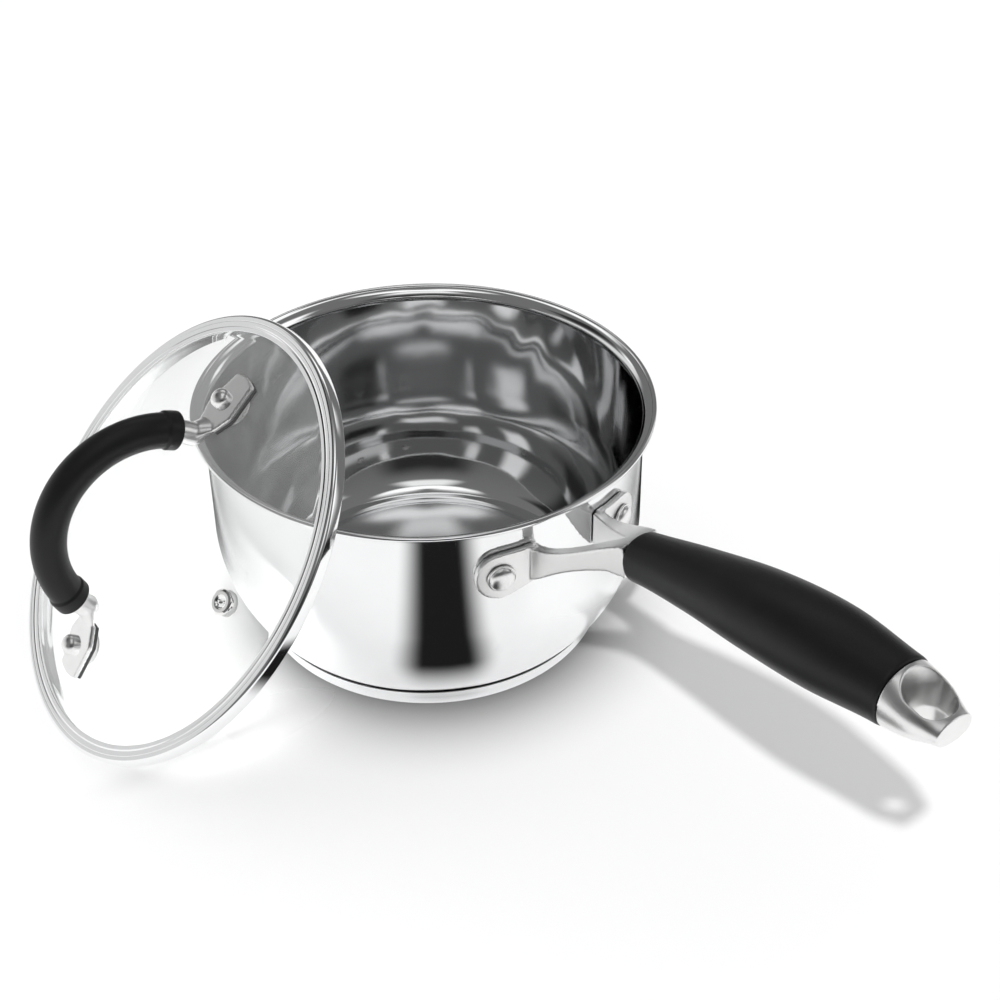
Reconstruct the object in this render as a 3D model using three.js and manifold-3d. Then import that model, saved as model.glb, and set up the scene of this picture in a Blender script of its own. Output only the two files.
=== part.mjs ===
// Saucepan with a leaning glass lid. Millimetres, +Z up.
// The origin is on the pan's axis at the underside of its base, and the handle runs along +X.
import * as THREE from 'three';
import { mergeVertices } from 'three/addons/utils/BufferGeometryUtils.js';
import { ParametricGeometry } from 'three/addons/geometries/ParametricGeometry.js';
import Module from 'manifold-3d';

const wasm = await Module();
wasm.setup();

const radians = THREE.MathUtils.degToRad;
const point = (x, y) => new THREE.Vector2(x, y);

// ---------------------------------------------------------------- driving dimensions

const GAP = 0.3;                      // free space left between pieces that touch
const ROUND_STEPS = 48;               // facets round the large turned pieces
const SMALL_STEPS = 20;               // facets round rivets, bars and eyelets

const pan = {
  wallRadius: 85,                     // outside of the straight wall
  height: 99.5,                       // top of the rim above the table
  sheet: 0.8,                         // steel thickness
  curveStart: 50,                     // height where the wall begins to curve in
  curveRadius: 60,                    // the large curve of the lower wall
  cornerRadius: 14,                   // the curve from the wall into the floor
  floorHeight: 6,                     // underside of the floor above the table
  rimReach: 5,                        // the rolled rim stands this far outside the wall
  beadRadius: 1,                      // the rolled edge of the rim
};

const base = {
  cornerRadius: 8,
  lipReach: 0.71,                     // its top edge stands this far outside its side
  sheet: 0.6,
};

const handleRivet = {
  azimuth: radians(19.2),             // either side of the handle
  belowRim: 22.8,
  headRadius: 5.6,
  headHeight: 3,
  shankRadius: 2.5,
  innerRadius: 4.5,
  innerHeight: 1.4,
};

const ear = {
  endRadius: 9.8,                     // round end about the rivet
  foldHeight: 16,                     // height of the strip where it folds away from the wall
  foldOffset: 11.5,                   // from the rivet to the fold, along the wall
  intoArm: 2,                         // the ear runs on this far past the fold, inside the arm
  foldRise: 2.5,                      // the strip climbs this far between the rivet and the fold
  thickness: 2.5,
};

const arm = {
  thickness: 3.6,
  neckHeight: 14,
  neckHalfWidth: 8,
};

const grip = {
  startReach: 41,                     // from the pan's wall
  startRise: 21.3,                    // above the rivets
  run: 117.7,                         // level distance from end to end
  climb: 18.3,
  archHeight: 3.6,                    // how far the middle rises above a straight line
  halfHeights: [8.7, 10.8, 13.3, 14, 11.7],   // at even steps from front to rear
  halfWidths: [9.8, 12.4, 15.2, 15.8, 12.8],
};

const rod = { radius: 3.5, intoLoop: 3 };   // the steel rod through the grip

const loop = {
  length: 20.5,
  step: 0.4,                          // its front stands this far inside the grip's rear
  sag: 0.25,                          // share of the taper taken off the top only
  middleHalfHeight: 8.5,
  middleHalfWidth: 11.5,
  tipHalfHeight: 4.6,
  tipHalfWidth: 8,
  holeLength: 12,
  holeWidth: 10,
  tipWall: 3.5,
};

const lid = {
  insideRim: 1,                       // its edge lies this far inside the edge of the pan's rim
  glassThickness: 3.5,
  domeHeight: 12,                     // outer face of the glass above the front of the band
  bandSheet: 0.5,
  lipWidth: 7,                        // front lip of the band over the glass
  edgeOverlap: 4.3,                   // flat edge of the glass held inside the band
  collarDepth: 10,                    // back edge of the collar behind the front lip
  collarClearance: 1,                 // between the collar and the inside of the pan
};

const lean = {
  azimuth: radians(259.8),             // the way the front of the lid faces
  restReach: 130.712,                 // up the lid's slope, from its foot to the height of the rim
  sideways: -4.4,                     // the lid's middle lies this far off the line to the pan's axis
  floorGap: 0.2,
  spin: radians(4.5),                 // the handle's line is turned this far from straight uphill
};

const arch = {
  radius: 38.8,                       // middle line of the lid handle
  centreHeight: 11.1,
  sleeveHalfAngle: radians(74),
  barHalfAngle: radians(86),
  barRadius: 4.5,
  sleeveRadius: 6.7,
  cuffRadius: 7.4,
  cuffLength: 5,
};

const lidRivet = {
  distance: 54,                       // from the lid's middle
  headRadius: 4,
  headHeight: 5.5,
  shankRadius: 2,
  innerRadius: 4.5,
  innerHeight: 1.5,
};

const foot = {
  thickness: 2,
  innerReach: 11,                     // from the rivet towards the bar
  outerReach: 12,                     // from the rivet to the middle of the tip
  cornerReach: 10.8,                  // from the rivet to the tip's corners
  tipHalfWidth: 6.3,
  innerHalfWidth: 5.5,
  halfWidth: 8.7,
  gasket: 1,
  washerRadius: 6.5,
  washerThickness: 0.8,
};

const vent = {
  distance: 57,
  angle: 0,
  holeRadius: 1.8,
  barrelRadius: 2.8,
  flangeRadius: 4.9,
  flangeHeight: 1.1,
  washerRadius: 4.9,
  washerThickness: 0.6,
};

// ---------------------------------------------------------------- finishes

const finish = (color, roughness, metalness, more = {}) =>
  new THREE.MeshStandardMaterial({ color, roughness, metalness, ...more });
const mirrorSteel = () => finish(0xd8dadc, 0.08, 1);
const satinSteel = () => finish(0xc4c4c2, 0.38, 1);
const aluminium = () => finish(0xb9bbbe, 0.5, 1);
const softBlack = () => finish(0x141414, 0.55, 0);
const silicone = () => finish(0x2a2a2a, 0.7, 0);
const clearGlass = () => finish(0xe8f2ef, 0.03, 0, { transparent: true, opacity: 0.3 });

// ---------------------------------------------------------------- solid helpers

// A closed geometry with shared corners, no empty triangles, and its faces pointing out.
function closed(geometry) {
  const bare = geometry.clone();
  bare.deleteAttribute('normal');
  bare.deleteAttribute('uv');
  const merged = mergeVertices(bare, 1e-4);
  const place = merged.attributes.position;
  const old = merged.index.array;
  const kept = [];
  for (let i = 0; i < old.length; i += 3) {
    const [a, b, c] = [old[i], old[i + 1], old[i + 2]];
    if (a !== b && b !== c && c !== a) kept.push(a, b, c);
  }
  const corner = (i) => new THREE.Vector3().fromBufferAttribute(place, i);
  let volume = 0;
  for (let i = 0; i < kept.length; i += 3) {
    volume += corner(kept[i]).dot(corner(kept[i + 1]).cross(corner(kept[i + 2])));
  }
  if (volume < 0) kept.reverse();
  merged.setIndex(kept);
  return merged;
}

function toSolid(geometry) {
  const shape = closed(geometry);
  return new wasm.Manifold(new wasm.Mesh({
    numProp: 3,
    vertProperties: Float32Array.from(shape.attributes.position.array),
    triVerts: Uint32Array.from(shape.index.array),
  }));
}

function toGeometry(solid) {
  const mesh = solid.getMesh();
  const geometry = new THREE.BufferGeometry();
  geometry.setAttribute('position', new THREE.BufferAttribute(mesh.vertProperties, 3));
  geometry.setIndex(new THREE.BufferAttribute(mesh.triVerts, 1));
  return geometry;
}

const join = (...parts) => toGeometry(parts.map(toSolid).reduce((a, b) => a.add(b)));
const cut = (body, ...tools) => toGeometry(
  tools.map(toSolid).reduce((a, b) => a.subtract(b), toSolid(body)),
);
const common = (...parts) => toGeometry(parts.map(toSolid).reduce((a, b) => a.intersect(b)));

// Turned about +Z from a profile of (radius, height) points.
function turned(profile, steps = SMALL_STEPS) {
  return closed(new THREE.LatheGeometry(profile, steps).rotateX(Math.PI / 2));
}

// A ring's profile ends where it starts.
const ring = (profile, steps) => turned([...profile, profile[0].clone()], steps);

const rod3 = (radius, from, to, steps = SMALL_STEPS) => {
  const axis = new THREE.Vector3().subVectors(to, from);
  const turn = new THREE.Quaternion();
  turn.setFromUnitVectors(new THREE.Vector3(0, 1, 0), axis.clone().normalize());
  return new THREE.CylinderGeometry(radius, radius, axis.length(), steps)
    .applyQuaternion(turn)
    .translate(...from.clone().add(to).multiplyScalar(0.5));
};

// Points on an arc about (cx, cy), from one angle to another in radians.
function arc(cx, cy, radius, from, to, steps) {
  return Array.from({ length: steps + 1 }, (_, i) => {
    const angle = from + (to - from) * i / steps;
    return point(cx + radius * Math.cos(angle), cy + radius * Math.sin(angle));
  });
}

// A skin over rings of corners, closed by a flat fan at each end.
function loft(rings, sides) {
  const last = rings.length + 1;
  const skin = (u, v, target) => {
    const row = Math.round(v * last);
    const at = rings[THREE.MathUtils.clamp(row - 1, 0, rings.length - 1)];
    if (row === 0 || row === last) target.copy(at.centre);
    else at.corner(u * 2 * Math.PI, target);
  };
  return closed(new ParametricGeometry(skin, sides, last));
}

// An oval ring across a path: side and up are its half axes, and square above 2 flattens its sides.
function oval(centre, side, up, square = 2) {
  return {
    centre,
    corner(angle, target) {
      const [c, s] = [Math.cos(angle), Math.sin(angle)];
      const a = Math.sign(c) * Math.abs(c) ** (2 / square);
      const b = Math.sign(s) * Math.abs(s) ** (2 / square);
      return target.copy(centre).addScaledVector(side, a).addScaledVector(up, b);
    },
  };
}

// A smooth number from 0 to 1, through values given at even steps.
function blend(values) {
  const curve = new THREE.SplineCurve(values.map((value, i) => point(i, value)));
  return (t) => curve.getPoint(t).y;
}

function piece(name, geometry, material) {
  const mesh = new THREE.Mesh(geometry, material);
  mesh.name = name;
  return mesh;
}

// ---------------------------------------------------------------- pan

// The corner between wall and floor touches both the large curve and the floor.
const curveCentre = point(pan.wallRadius - pan.curveRadius, pan.curveStart);
const cornerRise = pan.curveStart - pan.floorHeight - pan.cornerRadius;
const cornerReach = Math.sqrt((pan.curveRadius - pan.cornerRadius) ** 2 - cornerRise ** 2);
const cornerCentre = point(curveCentre.x + cornerReach, pan.floorHeight + pan.cornerRadius);
const seamAngle = -Math.atan2(cornerRise, cornerReach);

// The pan's skin pushed inwards by an inset, from the floor's edge up to the straight wall.
function panCurve(inset, cornerSteps = 4, curveSteps = 6) {
  const corner = pan.cornerRadius - inset;
  const curve = pan.curveRadius - inset;
  return [
    ...arc(cornerCentre.x, cornerCentre.y, corner, -Math.PI / 2, seamAngle, cornerSteps),
    ...arc(curveCentre.x, curveCentre.y, curve, seamAngle, 0, curveSteps).slice(1),
  ];
}

const rimRadius = pan.wallRadius + pan.rimReach;
const rimCentre = point(rimRadius - pan.beadRadius, pan.height - pan.beadRadius);
const flareRadius = rimCentre.x - pan.wallRadius;
const flareDrop = flareRadius + pan.sheet / 2;
const flareCentre = point(rimCentre.x, rimCentre.y - flareDrop);

// Angle on the bead where a circle about the flare's centre meets it.
function beadMeet(radius) {
  const down = (flareDrop ** 2 + pan.beadRadius ** 2 - radius ** 2) / (2 * flareDrop);
  return Math.atan2(-down, -Math.sqrt(pan.beadRadius ** 2 - down ** 2));
}

function flareSide(radius, steps = 4) {
  const meet = beadMeet(radius);
  const x = pan.beadRadius * Math.cos(meet);
  const y = pan.beadRadius * Math.sin(meet) + flareDrop;
  return arc(flareCentre.x, flareCentre.y, radius, Math.PI, Math.atan2(y, x), steps).slice(0, -1);
}

function panBody() {
  const innerFlare = flareRadius + pan.sheet;
  const from = beadMeet(flareRadius);
  const to = beadMeet(innerFlare);
  const wrap = (angle) => (angle < 0 ? angle + 2 * Math.PI : angle);
  const bead = arc(rimCentre.x, rimCentre.y, pan.beadRadius, wrap(from) - 2 * Math.PI, wrap(to), 10);
  const profile = [
    point(0, pan.floorHeight),
    ...panCurve(0),
    ...flareSide(flareRadius),
    ...bead,
    ...flareSide(innerFlare).reverse(),
    ...panCurve(pan.sheet).reverse(),
    point(0, pan.floorHeight + pan.sheet),
  ];
  const holes = [-1, 1].map((side) => alongRivet(side, pan.wallRadius - 6, pan.wallRadius + 4));
  return cut(turned(profile, ROUND_STEPS), ...holes);
}

const rivetHeight = pan.height - handleRivet.belowRim;

// A round tool on a handle rivet's axis, a gap wider than the shank.
function alongRivet(side, from, to) {
  const turn = side * handleRivet.azimuth;
  const at = (distance) => new THREE.Vector3(
    distance * Math.cos(turn), distance * Math.sin(turn), rivetHeight,
  );
  return rod3(handleRivet.shankRadius + GAP, at(from), at(to), 12);
}

// ---------------------------------------------------------------- base

const seamPoint = (inset) => point(
  curveCentre.x + (pan.curveRadius - inset) * Math.cos(seamAngle),
  curveCentre.y + (pan.curveRadius - inset) * Math.sin(seamAngle),
);

const baseLip = seamPoint(-GAP);
const baseCentre = point(baseLip.x - base.lipReach - base.cornerRadius, base.cornerRadius);

function baseCore() {
  const inset = base.sheet + GAP;
  const under = panCurve(-GAP, 4, 1).slice(0, 5).reverse();
  return turned([
    point(0, inset),
    ...arc(baseCentre.x, baseCentre.y, base.cornerRadius - inset, -Math.PI / 2, 0, 4),
    point(baseLip.x - inset, baseLip.y - inset),
    ...under.slice(1),
    point(0, pan.floorHeight - GAP),
  ], ROUND_STEPS);
}

function baseCap() {
  return turned([
    point(0, 0),
    ...arc(baseCentre.x, baseCentre.y, base.cornerRadius, -Math.PI / 2, 0, 5),
    point(baseLip.x + base.sheet / 2, baseLip.y),
    point(baseLip.x - base.sheet / 2, baseLip.y - base.sheet),
    ...arc(baseCentre.x, baseCentre.y, base.cornerRadius - base.sheet, 0, -Math.PI / 2, 4),
    point(0, base.sheet),
  ], ROUND_STEPS);
}

// ---------------------------------------------------------------- handle

const handlePoint = (x, y, z) => new THREE.Vector3(x, y, z);
const gripStart = handlePoint(pan.wallRadius + grip.startReach, 0, rivetHeight + grip.startRise);
const gripEnd = gripStart.clone().add(handlePoint(grip.run, 0, grip.climb));
const gripAxis = gripEnd.clone().sub(gripStart).normalize();
const gripUp = handlePoint(-gripAxis.z, 0, gripAxis.x);
const earInner = pan.wallRadius + GAP;
const earOuter = earInner + ear.thickness;
const foldAngle = handleRivet.azimuth - ear.foldOffset / earInner;
const foldPoint = point(earInner * Math.cos(foldAngle), earInner * Math.sin(foldAngle));
const againstWall = (y) => Math.sqrt(earInner ** 2 - y ** 2);

// The grip's middle line arches above the straight line between its ends.
const gripLine = new THREE.QuadraticBezierCurve3(
  gripStart,
  gripStart.clone().add(gripEnd).multiplyScalar(0.5).addScaledVector(gripUp, 2 * grip.archHeight),
  gripEnd,
);
const gripHalfHeight = blend(grip.halfHeights);
const gripHalfWidth = blend(grip.halfWidths);
const rearHalfHeight = grip.halfHeights.at(-1);
const rearHalfWidth = grip.halfWidths.at(-1);

function gripRing(t) {
  const along = gripLine.getTangent(t);
  const up = handlePoint(-along.z, 0, along.x).multiplyScalar(gripHalfHeight(t));
  return oval(gripLine.getPoint(t), handlePoint(0, gripHalfWidth(t), 0), up, 2.2);
}

const rodFrom = gripStart.clone().addScaledVector(gripAxis, -4);
const rodTo = gripEnd.clone().addScaledVector(gripAxis, rod.intoLoop);
const rodBore = () => rod3(rod.radius + GAP, gripStart.clone().addScaledVector(gripAxis, -10),
  rodTo.clone().addScaledVector(gripAxis, GAP));

function handleGrip() {
  const stations = Array.from({ length: 15 }, (_, i) => gripRing(i / 14));
  return cut(loft(stations, 24), rodBore());
}

// An ear is the part of a ring round the wall that its outline keeps, seen along the rivet.
function earPlate(side) {
  const band = ring([
    point(earInner, 0), point(earOuter, 0), point(earOuter, pan.height), point(earInner, pan.height),
  ], 2 * ROUND_STEPS);
  const outline = new THREE.Shape();
  // Its edges run from the fold's corners to the rounded end and meet it without a corner.
  const corners = [-1, 1].map((way) => point(
    -ear.foldOffset - ear.intoArm, ear.foldRise + way * ear.foldHeight / 2,
  ));
  const [from, to] = corners.map((corner, i) =>
    corner.angle() - (i ? 1 : -1) * Math.acos(ear.endRadius / corner.length()));
  outline.moveTo(corners[0].x, corners[0].y);
  outline.absarc(0, 0, ear.endRadius, from - 2 * Math.PI, to, false);
  outline.lineTo(corners[1].x, corners[1].y);
  outline.closePath();
  const hole = new THREE.Path().absarc(0, 0, handleRivet.shankRadius + GAP, 0, 2 * Math.PI, false);
  outline.holes.push(hole);
  const tool = new THREE.ExtrudeGeometry(outline, { depth: 30, bevelEnabled: false, curveSegments: 10 });
  // The outline's x runs along the wall away from the handle, its y runs up, and it is pushed outwards.
  const away = new THREE.Matrix4().makeBasis(
    handlePoint(0, side, 0), handlePoint(0, 0, 1), handlePoint(1, 0, 0),
  );
  tool.applyMatrix4(away).translate(pan.wallRadius - 12, 0, 0).rotateZ(side * handleRivet.azimuth);
  tool.translate(0, 0, rivetHeight);
  return common(band, tool);
}

// The two arms and the neck are what a plan outline and a side outline have in common.
function handleArms() {
  const neck = gripStart.x - GAP;
  const armInner = foldPoint.y - arm.thickness;
  const plan = new THREE.Shape();
  plan.moveTo(neck, -arm.neckHalfWidth);
  plan.bezierCurveTo(neck - 12, -arm.neckHalfWidth - 2, foldPoint.x + 10, -foldPoint.y - 0.5,
    foldPoint.x + ear.thickness, -foldPoint.y - 0.8);
  plan.lineTo(foldPoint.x, -foldPoint.y);
  plan.lineTo(againstWall(armInner), -armInner);
  plan.bezierCurveTo(foldPoint.x + 9, -armInner, neck - 15, -3, neck - 9, 0);
  plan.bezierCurveTo(neck - 15, 3, foldPoint.x + 9, armInner, againstWall(armInner), armInner);
  plan.lineTo(foldPoint.x, foldPoint.y);
  plan.lineTo(foldPoint.x + ear.thickness, foldPoint.y + 0.8);
  plan.bezierCurveTo(foldPoint.x + 10, foldPoint.y + 0.5, neck - 12, arm.neckHalfWidth + 2,
    neck, arm.neckHalfWidth);
  plan.closePath();
  const block = { depth: 80, bevelEnabled: false, curveSegments: 8 };
  const tall = new THREE.ExtrudeGeometry(plan, block).translate(0, 0, rivetHeight - block.depth / 2);

  const z = rivetHeight + ear.foldRise;
  const half = ear.foldHeight / 2;
  const side = new THREE.Shape();
  side.moveTo(foldPoint.x - 2, z - half);
  const neckLow = gripStart.z - arm.neckHeight / 2;
  side.bezierCurveTo(foldPoint.x + 8, z - half, foldPoint.x + 8, z + 1, neck - 8, neckLow);
  side.lineTo(neck + 2, neckLow + 1);
  side.lineTo(neck - 1, neckLow + arm.neckHeight);
  side.bezierCurveTo(neck - 14, gripStart.z + 2, foldPoint.x + 9, z + half - 5, foldPoint.x - 2, z + half);
  side.closePath();
  const wide = new THREE.ExtrudeGeometry(side, block).rotateX(Math.PI / 2);
  wide.translate(0, block.depth / 2, 0);
  return common(tall, wide);
}

function handleFork() {
  const into = gripLine.getTangent(0);
  const front = gripStart.clone().addScaledVector(into, -GAP);
  const clear = rod3(60, front, front.clone().addScaledVector(into, 200), 16);
  const arms = cut(handleArms(), clear);
  return join(arms, earPlate(-1), earPlate(1), rod3(rod.radius, rodFrom, rodTo));
}

function rivet(size, grab) {
  const head = arc(0, 0, 1, -0.1, Math.PI / 2, 5)
    .map((p) => point(size.headRadius * p.x, grab + size.headHeight * Math.max(p.y, 0)));
  const inner = arc(0, 0, 1, -Math.PI / 2, 0, 3)
    .map((p) => point(size.innerRadius * p.x, size.innerHeight * p.y));
  head[head.length - 1].x = 0;
  inner[0].x = 0;
  return turned([
    ...inner,
    point(size.shankRadius, 0),
    point(size.shankRadius, grab),
    ...head.slice(1),
  ]);
}

function handleRivetPiece(side) {
  const grab = ear.thickness + pan.sheet + 3 * GAP;
  const name = side < 0 ? 'handle_rivet_left' : 'handle_rivet_right';
  const mesh = piece(name, rivet(handleRivet, grab), satinSteel());
  mesh.rotation.set(0, Math.PI / 2, 0);
  const turn = new THREE.Group();
  turn.rotation.z = side * handleRivet.azimuth;
  mesh.position.set(pan.wallRadius - pan.sheet - GAP, 0, rivetHeight);
  turn.add(mesh);
  return turn;
}

// ---------------------------------------------------------------- hanging loop

function hangLoop() {
  const along = gripLine.getTangent(1);
  const up = handlePoint(-along.z, 0, along.x);
  const front = gripEnd.clone().addScaledVector(along, GAP);
  const halfHeight = blend([rearHalfHeight - loop.step, loop.middleHalfHeight, loop.tipHalfHeight]);
  const halfWidth = blend([rearHalfWidth - loop.step, loop.middleHalfWidth, loop.tipHalfWidth]);
  const rings = Array.from({ length: 8 }, (_, i) => {
    const t = i / 7;
    const drop = (rearHalfHeight - halfHeight(t)) * loop.sag;
    const centre = front.clone().addScaledVector(along, loop.length * t).addScaledVector(up, -drop);
    return oval(centre, handlePoint(0, halfWidth(t), 0), up.clone().multiplyScalar(halfHeight(t)), 2.2);
  });
  const slot = new THREE.Shape();
  const [half, straight] = [loop.holeWidth / 2, loop.holeLength - loop.holeWidth];
  slot.absarc(0, 0, half, -Math.PI / 2, Math.PI / 2, false);
  slot.absarc(-straight, 0, half, Math.PI / 2, 3 * Math.PI / 2, false);
  slot.closePath();
  const hole = new THREE.ExtrudeGeometry(slot, { depth: 60, bevelEnabled: false, curveSegments: 8 });
  const end = front.clone().addScaledVector(along, loop.length - loop.tipWall - half);
  hole.translate(0, 0, -30).applyMatrix4(new THREE.Matrix4().makeBasis(along, handlePoint(0, 1, 0), up));
  hole.translate(end.x, end.y, end.z);
  return cut(loft(rings, 24), rodBore(), hole);
}

// ---------------------------------------------------------------- lid, in its own frame
// The lid's +Z is the way its front faces, and +Y points up the leaning lid.

const lidRadius = rimRadius - lid.insideRim;
const lipInner = lidRadius - lid.lipWidth;
const glassTop = -lid.bandSheet - GAP;
const glassUnder = glassTop - lid.glassThickness;
const domeRise = lid.domeHeight - glassTop;
const domeRadius = (lipInner ** 2 + domeRise ** 2) / (2 * domeRise);
const domeCentre = lid.domeHeight - domeRadius;
const domeHalfAngle = Math.asin(lipInner / domeRadius);
const glassRadius = lipInner + lid.edgeOverlap;
const domeAngle = (distance) => Math.asin(distance / domeRadius);
const collarRadius = pan.wallRadius - pan.sheet - lid.collarClearance;
const bandBack = glassUnder - GAP;

function lidGlass() {
  const [edge, top] = [Math.PI / 2 - domeHalfAngle, Math.PI / 2];
  const outer = arc(0, domeCentre, domeRadius, edge, top, 8);
  const inner = arc(0, domeCentre, domeRadius - lid.glassThickness, top, edge, 8);
  outer.at(-1).x = 0;
  inner[0].x = 0;
  const profile = [
    ...inner, point(glassRadius, glassUnder), point(glassRadius, glassTop), ...outer,
  ];
  const holes = [
    onDome(lidRivet.distance, Math.PI / 2, lidRivet.shankRadius + GAP),
    onDome(lidRivet.distance, -Math.PI / 2, lidRivet.shankRadius + GAP),
    onDome(vent.distance, vent.angle, vent.barrelRadius + GAP),
  ];
  return cut(turned(profile, ROUND_STEPS), ...holes);
}

// A round tool through the dome, square to it.
function onDome(distance, turn, radius) {
  const tool = new THREE.CylinderGeometry(radius, radius, 20, 12).rotateX(Math.PI / 2);
  tool.translate(0, 0, domeRadius);
  return tool.rotateY(domeAngle(distance)).rotateZ(turn).translate(0, 0, domeCentre);
}

function lidBand() {
  const t = lid.bandSheet;
  return ring([
    point(lipInner, 0),
    ...arc(lidRadius - 1, -1, 1, Math.PI / 2, 0, 3),
    point(lidRadius, bandBack - t),
    point(collarRadius, bandBack - t),
    point(collarRadius, -lid.collarDepth),
    point(collarRadius - t, -lid.collarDepth),
    point(collarRadius - t, bandBack),
    point(lidRadius - t, bandBack),
    point(lidRadius - t, -t),
    point(lipInner, -t),
  ], ROUND_STEPS);
}

// A frame on the dome's outer face: +Z square to the glass, +X away from the lid's middle.
function domeSpot(distance, turn, lift, ...meshes) {
  const spot = new THREE.Group();
  const angle = domeAngle(distance);
  spot.rotation.set(0, angle, turn, 'ZYX');
  const radius = domeRadius + lift;
  const reach = radius * Math.sin(angle);
  spot.position.set(
    reach * Math.cos(turn), reach * Math.sin(turn), domeCentre + radius * Math.cos(angle),
  );
  if (meshes.length) spot.add(...meshes);
  return spot;
}

function footOutline() {
  const plate = new THREE.Shape();
  plate.moveTo(-foot.innerReach, -foot.innerHalfWidth);
  plate.lineTo(-foot.innerReach / 3, -foot.halfWidth);
  plate.lineTo(foot.cornerReach, -foot.tipHalfWidth);
  plate.quadraticCurveTo(2 * foot.outerReach - foot.cornerReach, 0, foot.cornerReach, foot.tipHalfWidth);
  plate.lineTo(-foot.innerReach / 3, foot.halfWidth);
  plate.lineTo(-foot.innerReach, foot.innerHalfWidth);
  plate.closePath();
  plate.holes.push(new THREE.Path().absarc(0, 0, lidRivet.shankRadius + GAP, 0, 2 * Math.PI, false));
  return plate;
}

const footPlate = (thickness) => new THREE.ExtrudeGeometry(footOutline(), {
  depth: thickness, bevelEnabled: false, curveSegments: 6,
});
const footLift = GAP + foot.gasket + GAP;

// The matrix of a spot on the dome, for pieces joined into the bar.
function spotMatrix(distance, turn, lift) {
  const spot = domeSpot(distance, turn, lift);
  spot.updateMatrix();
  return spot.matrix;
}

// A point on the lid handle's middle line, at an angle from its top.
const archPoint = (angle, radius = arch.radius) => new THREE.Vector3(
  0, radius * Math.sin(angle), arch.centreHeight + radius * Math.cos(angle),
);

function archLoft(half, radiusAt, steps, sides) {
  const rings = Array.from({ length: steps + 1 }, (_, i) => {
    const angle = half * (2 * i / steps - 1);
    const out = archPoint(angle, 1).sub(archPoint(0, 0));
    const radius = radiusAt(angle);
    return oval(archPoint(angle), new THREE.Vector3(radius, 0, 0), out.multiplyScalar(radius));
  });
  return loft(rings, sides);
}

function lidHandleBar() {
  const bow = archLoft(arch.barHalfAngle, () => arch.barRadius, 20, 14);
  const plates = [Math.PI / 2, -Math.PI / 2].map((turn) =>
    footPlate(foot.thickness).applyMatrix4(spotMatrix(lidRivet.distance, turn, footLift)));
  const webs = [1, -1].map((side) => {
    const matrix = spotMatrix(lidRivet.distance, side * Math.PI / 2, footLift);
    const inner = new THREE.Vector3(-foot.innerReach + 1, 0, foot.thickness / 2).applyMatrix4(matrix);
    const bowEnd = archPoint(side * arch.barHalfAngle * 0.97);
    const along = bowEnd.clone().sub(inner);
    const wide = new THREE.Vector3(foot.innerHalfWidth, 0, 0);
    const round = new THREE.Vector3(arch.barRadius, 0, 0);
    const thick = new THREE.Vector3(0, along.z, -along.y).normalize();
    return loft([
      oval(inner, wide, thick.clone().multiplyScalar(foot.thickness * 0.7)),
      oval(bowEnd, round, thick.clone().multiplyScalar(arch.barRadius * 0.8)),
    ], 14);
  });
  return join(bow, ...plates, ...webs);
}

function lidHandleSleeve() {
  const cuffAngle = arch.sleeveHalfAngle - arch.cuffLength / arch.radius;
  const body = archLoft(arch.sleeveHalfAngle - 0.02, () => arch.sleeveRadius, 20, 18);
  const bore = archLoft(arch.sleeveHalfAngle + 0.1, () => arch.barRadius + GAP, 24, 14);
  const cuffs = [-1, 1].map((side) => {
    const rings = Array.from({ length: 4 }, (_, i) => {
      const angle = side * (cuffAngle + (arch.sleeveHalfAngle - cuffAngle) * i / 3);
      const out = archPoint(angle, 1).sub(archPoint(0, 0)).multiplyScalar(arch.cuffRadius);
      return oval(archPoint(angle), new THREE.Vector3(arch.cuffRadius, 0, 0), out);
    });
    return loft(rings, 18);
  });
  return cut(join(body, ...cuffs), bore);
}

function lidFittings() {
  const grab = foot.thickness + foot.gasket + lid.glassThickness + foot.washerThickness + 5 * GAP;
  const places = [['upper', Math.PI / 2], ['lower', -Math.PI / 2]];
  return places.flatMap(([word, turn]) => {
    const under = -lid.glassThickness - GAP - foot.washerThickness - GAP;
    const bore = lidRivet.shankRadius + GAP;
    const washer = ring([
      point(bore, 0), point(foot.washerRadius, 0),
      point(foot.washerRadius, foot.washerThickness), point(bore, foot.washerThickness),
    ]);
    const stack = [
      [under, piece(`lid_rivet_${word}`, rivet(lidRivet, grab), satinSteel())],
      [GAP, piece(`lid_gasket_${word}`, footPlate(foot.gasket), silicone())],
      [under + GAP, piece(`lid_washer_${word}`, washer, satinSteel())],
    ];
    return stack.map(([lift, mesh]) => domeSpot(lidRivet.distance, turn, lift, mesh));
  });
}

function ventEyelet() {
  const under = -lid.glassThickness - GAP - vent.washerThickness - GAP;
  return ring([
    point(vent.holeRadius, under - 0.5),
    point(vent.barrelRadius + 1, under - 0.5),
    point(vent.barrelRadius + 1, under),
    point(vent.barrelRadius, under),
    point(vent.barrelRadius, GAP),
    point(vent.flangeRadius, GAP),
    point(vent.flangeRadius - 0.5, GAP + vent.flangeHeight * 0.8),
    point(vent.flangeRadius - 1.4, GAP + vent.flangeHeight),
    point(vent.holeRadius + 0.4, GAP + vent.flangeHeight),
    point(vent.holeRadius, GAP + vent.flangeHeight * 0.6),
  ]);
}

function ventWasher() {
  const top = -lid.glassThickness - GAP;
  const low = top - vent.washerThickness;
  const bore = vent.barrelRadius + GAP;
  return ring([
    point(bore, low), point(vent.washerRadius, low), point(vent.washerRadius, top), point(bore, top),
  ]);
}

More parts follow.
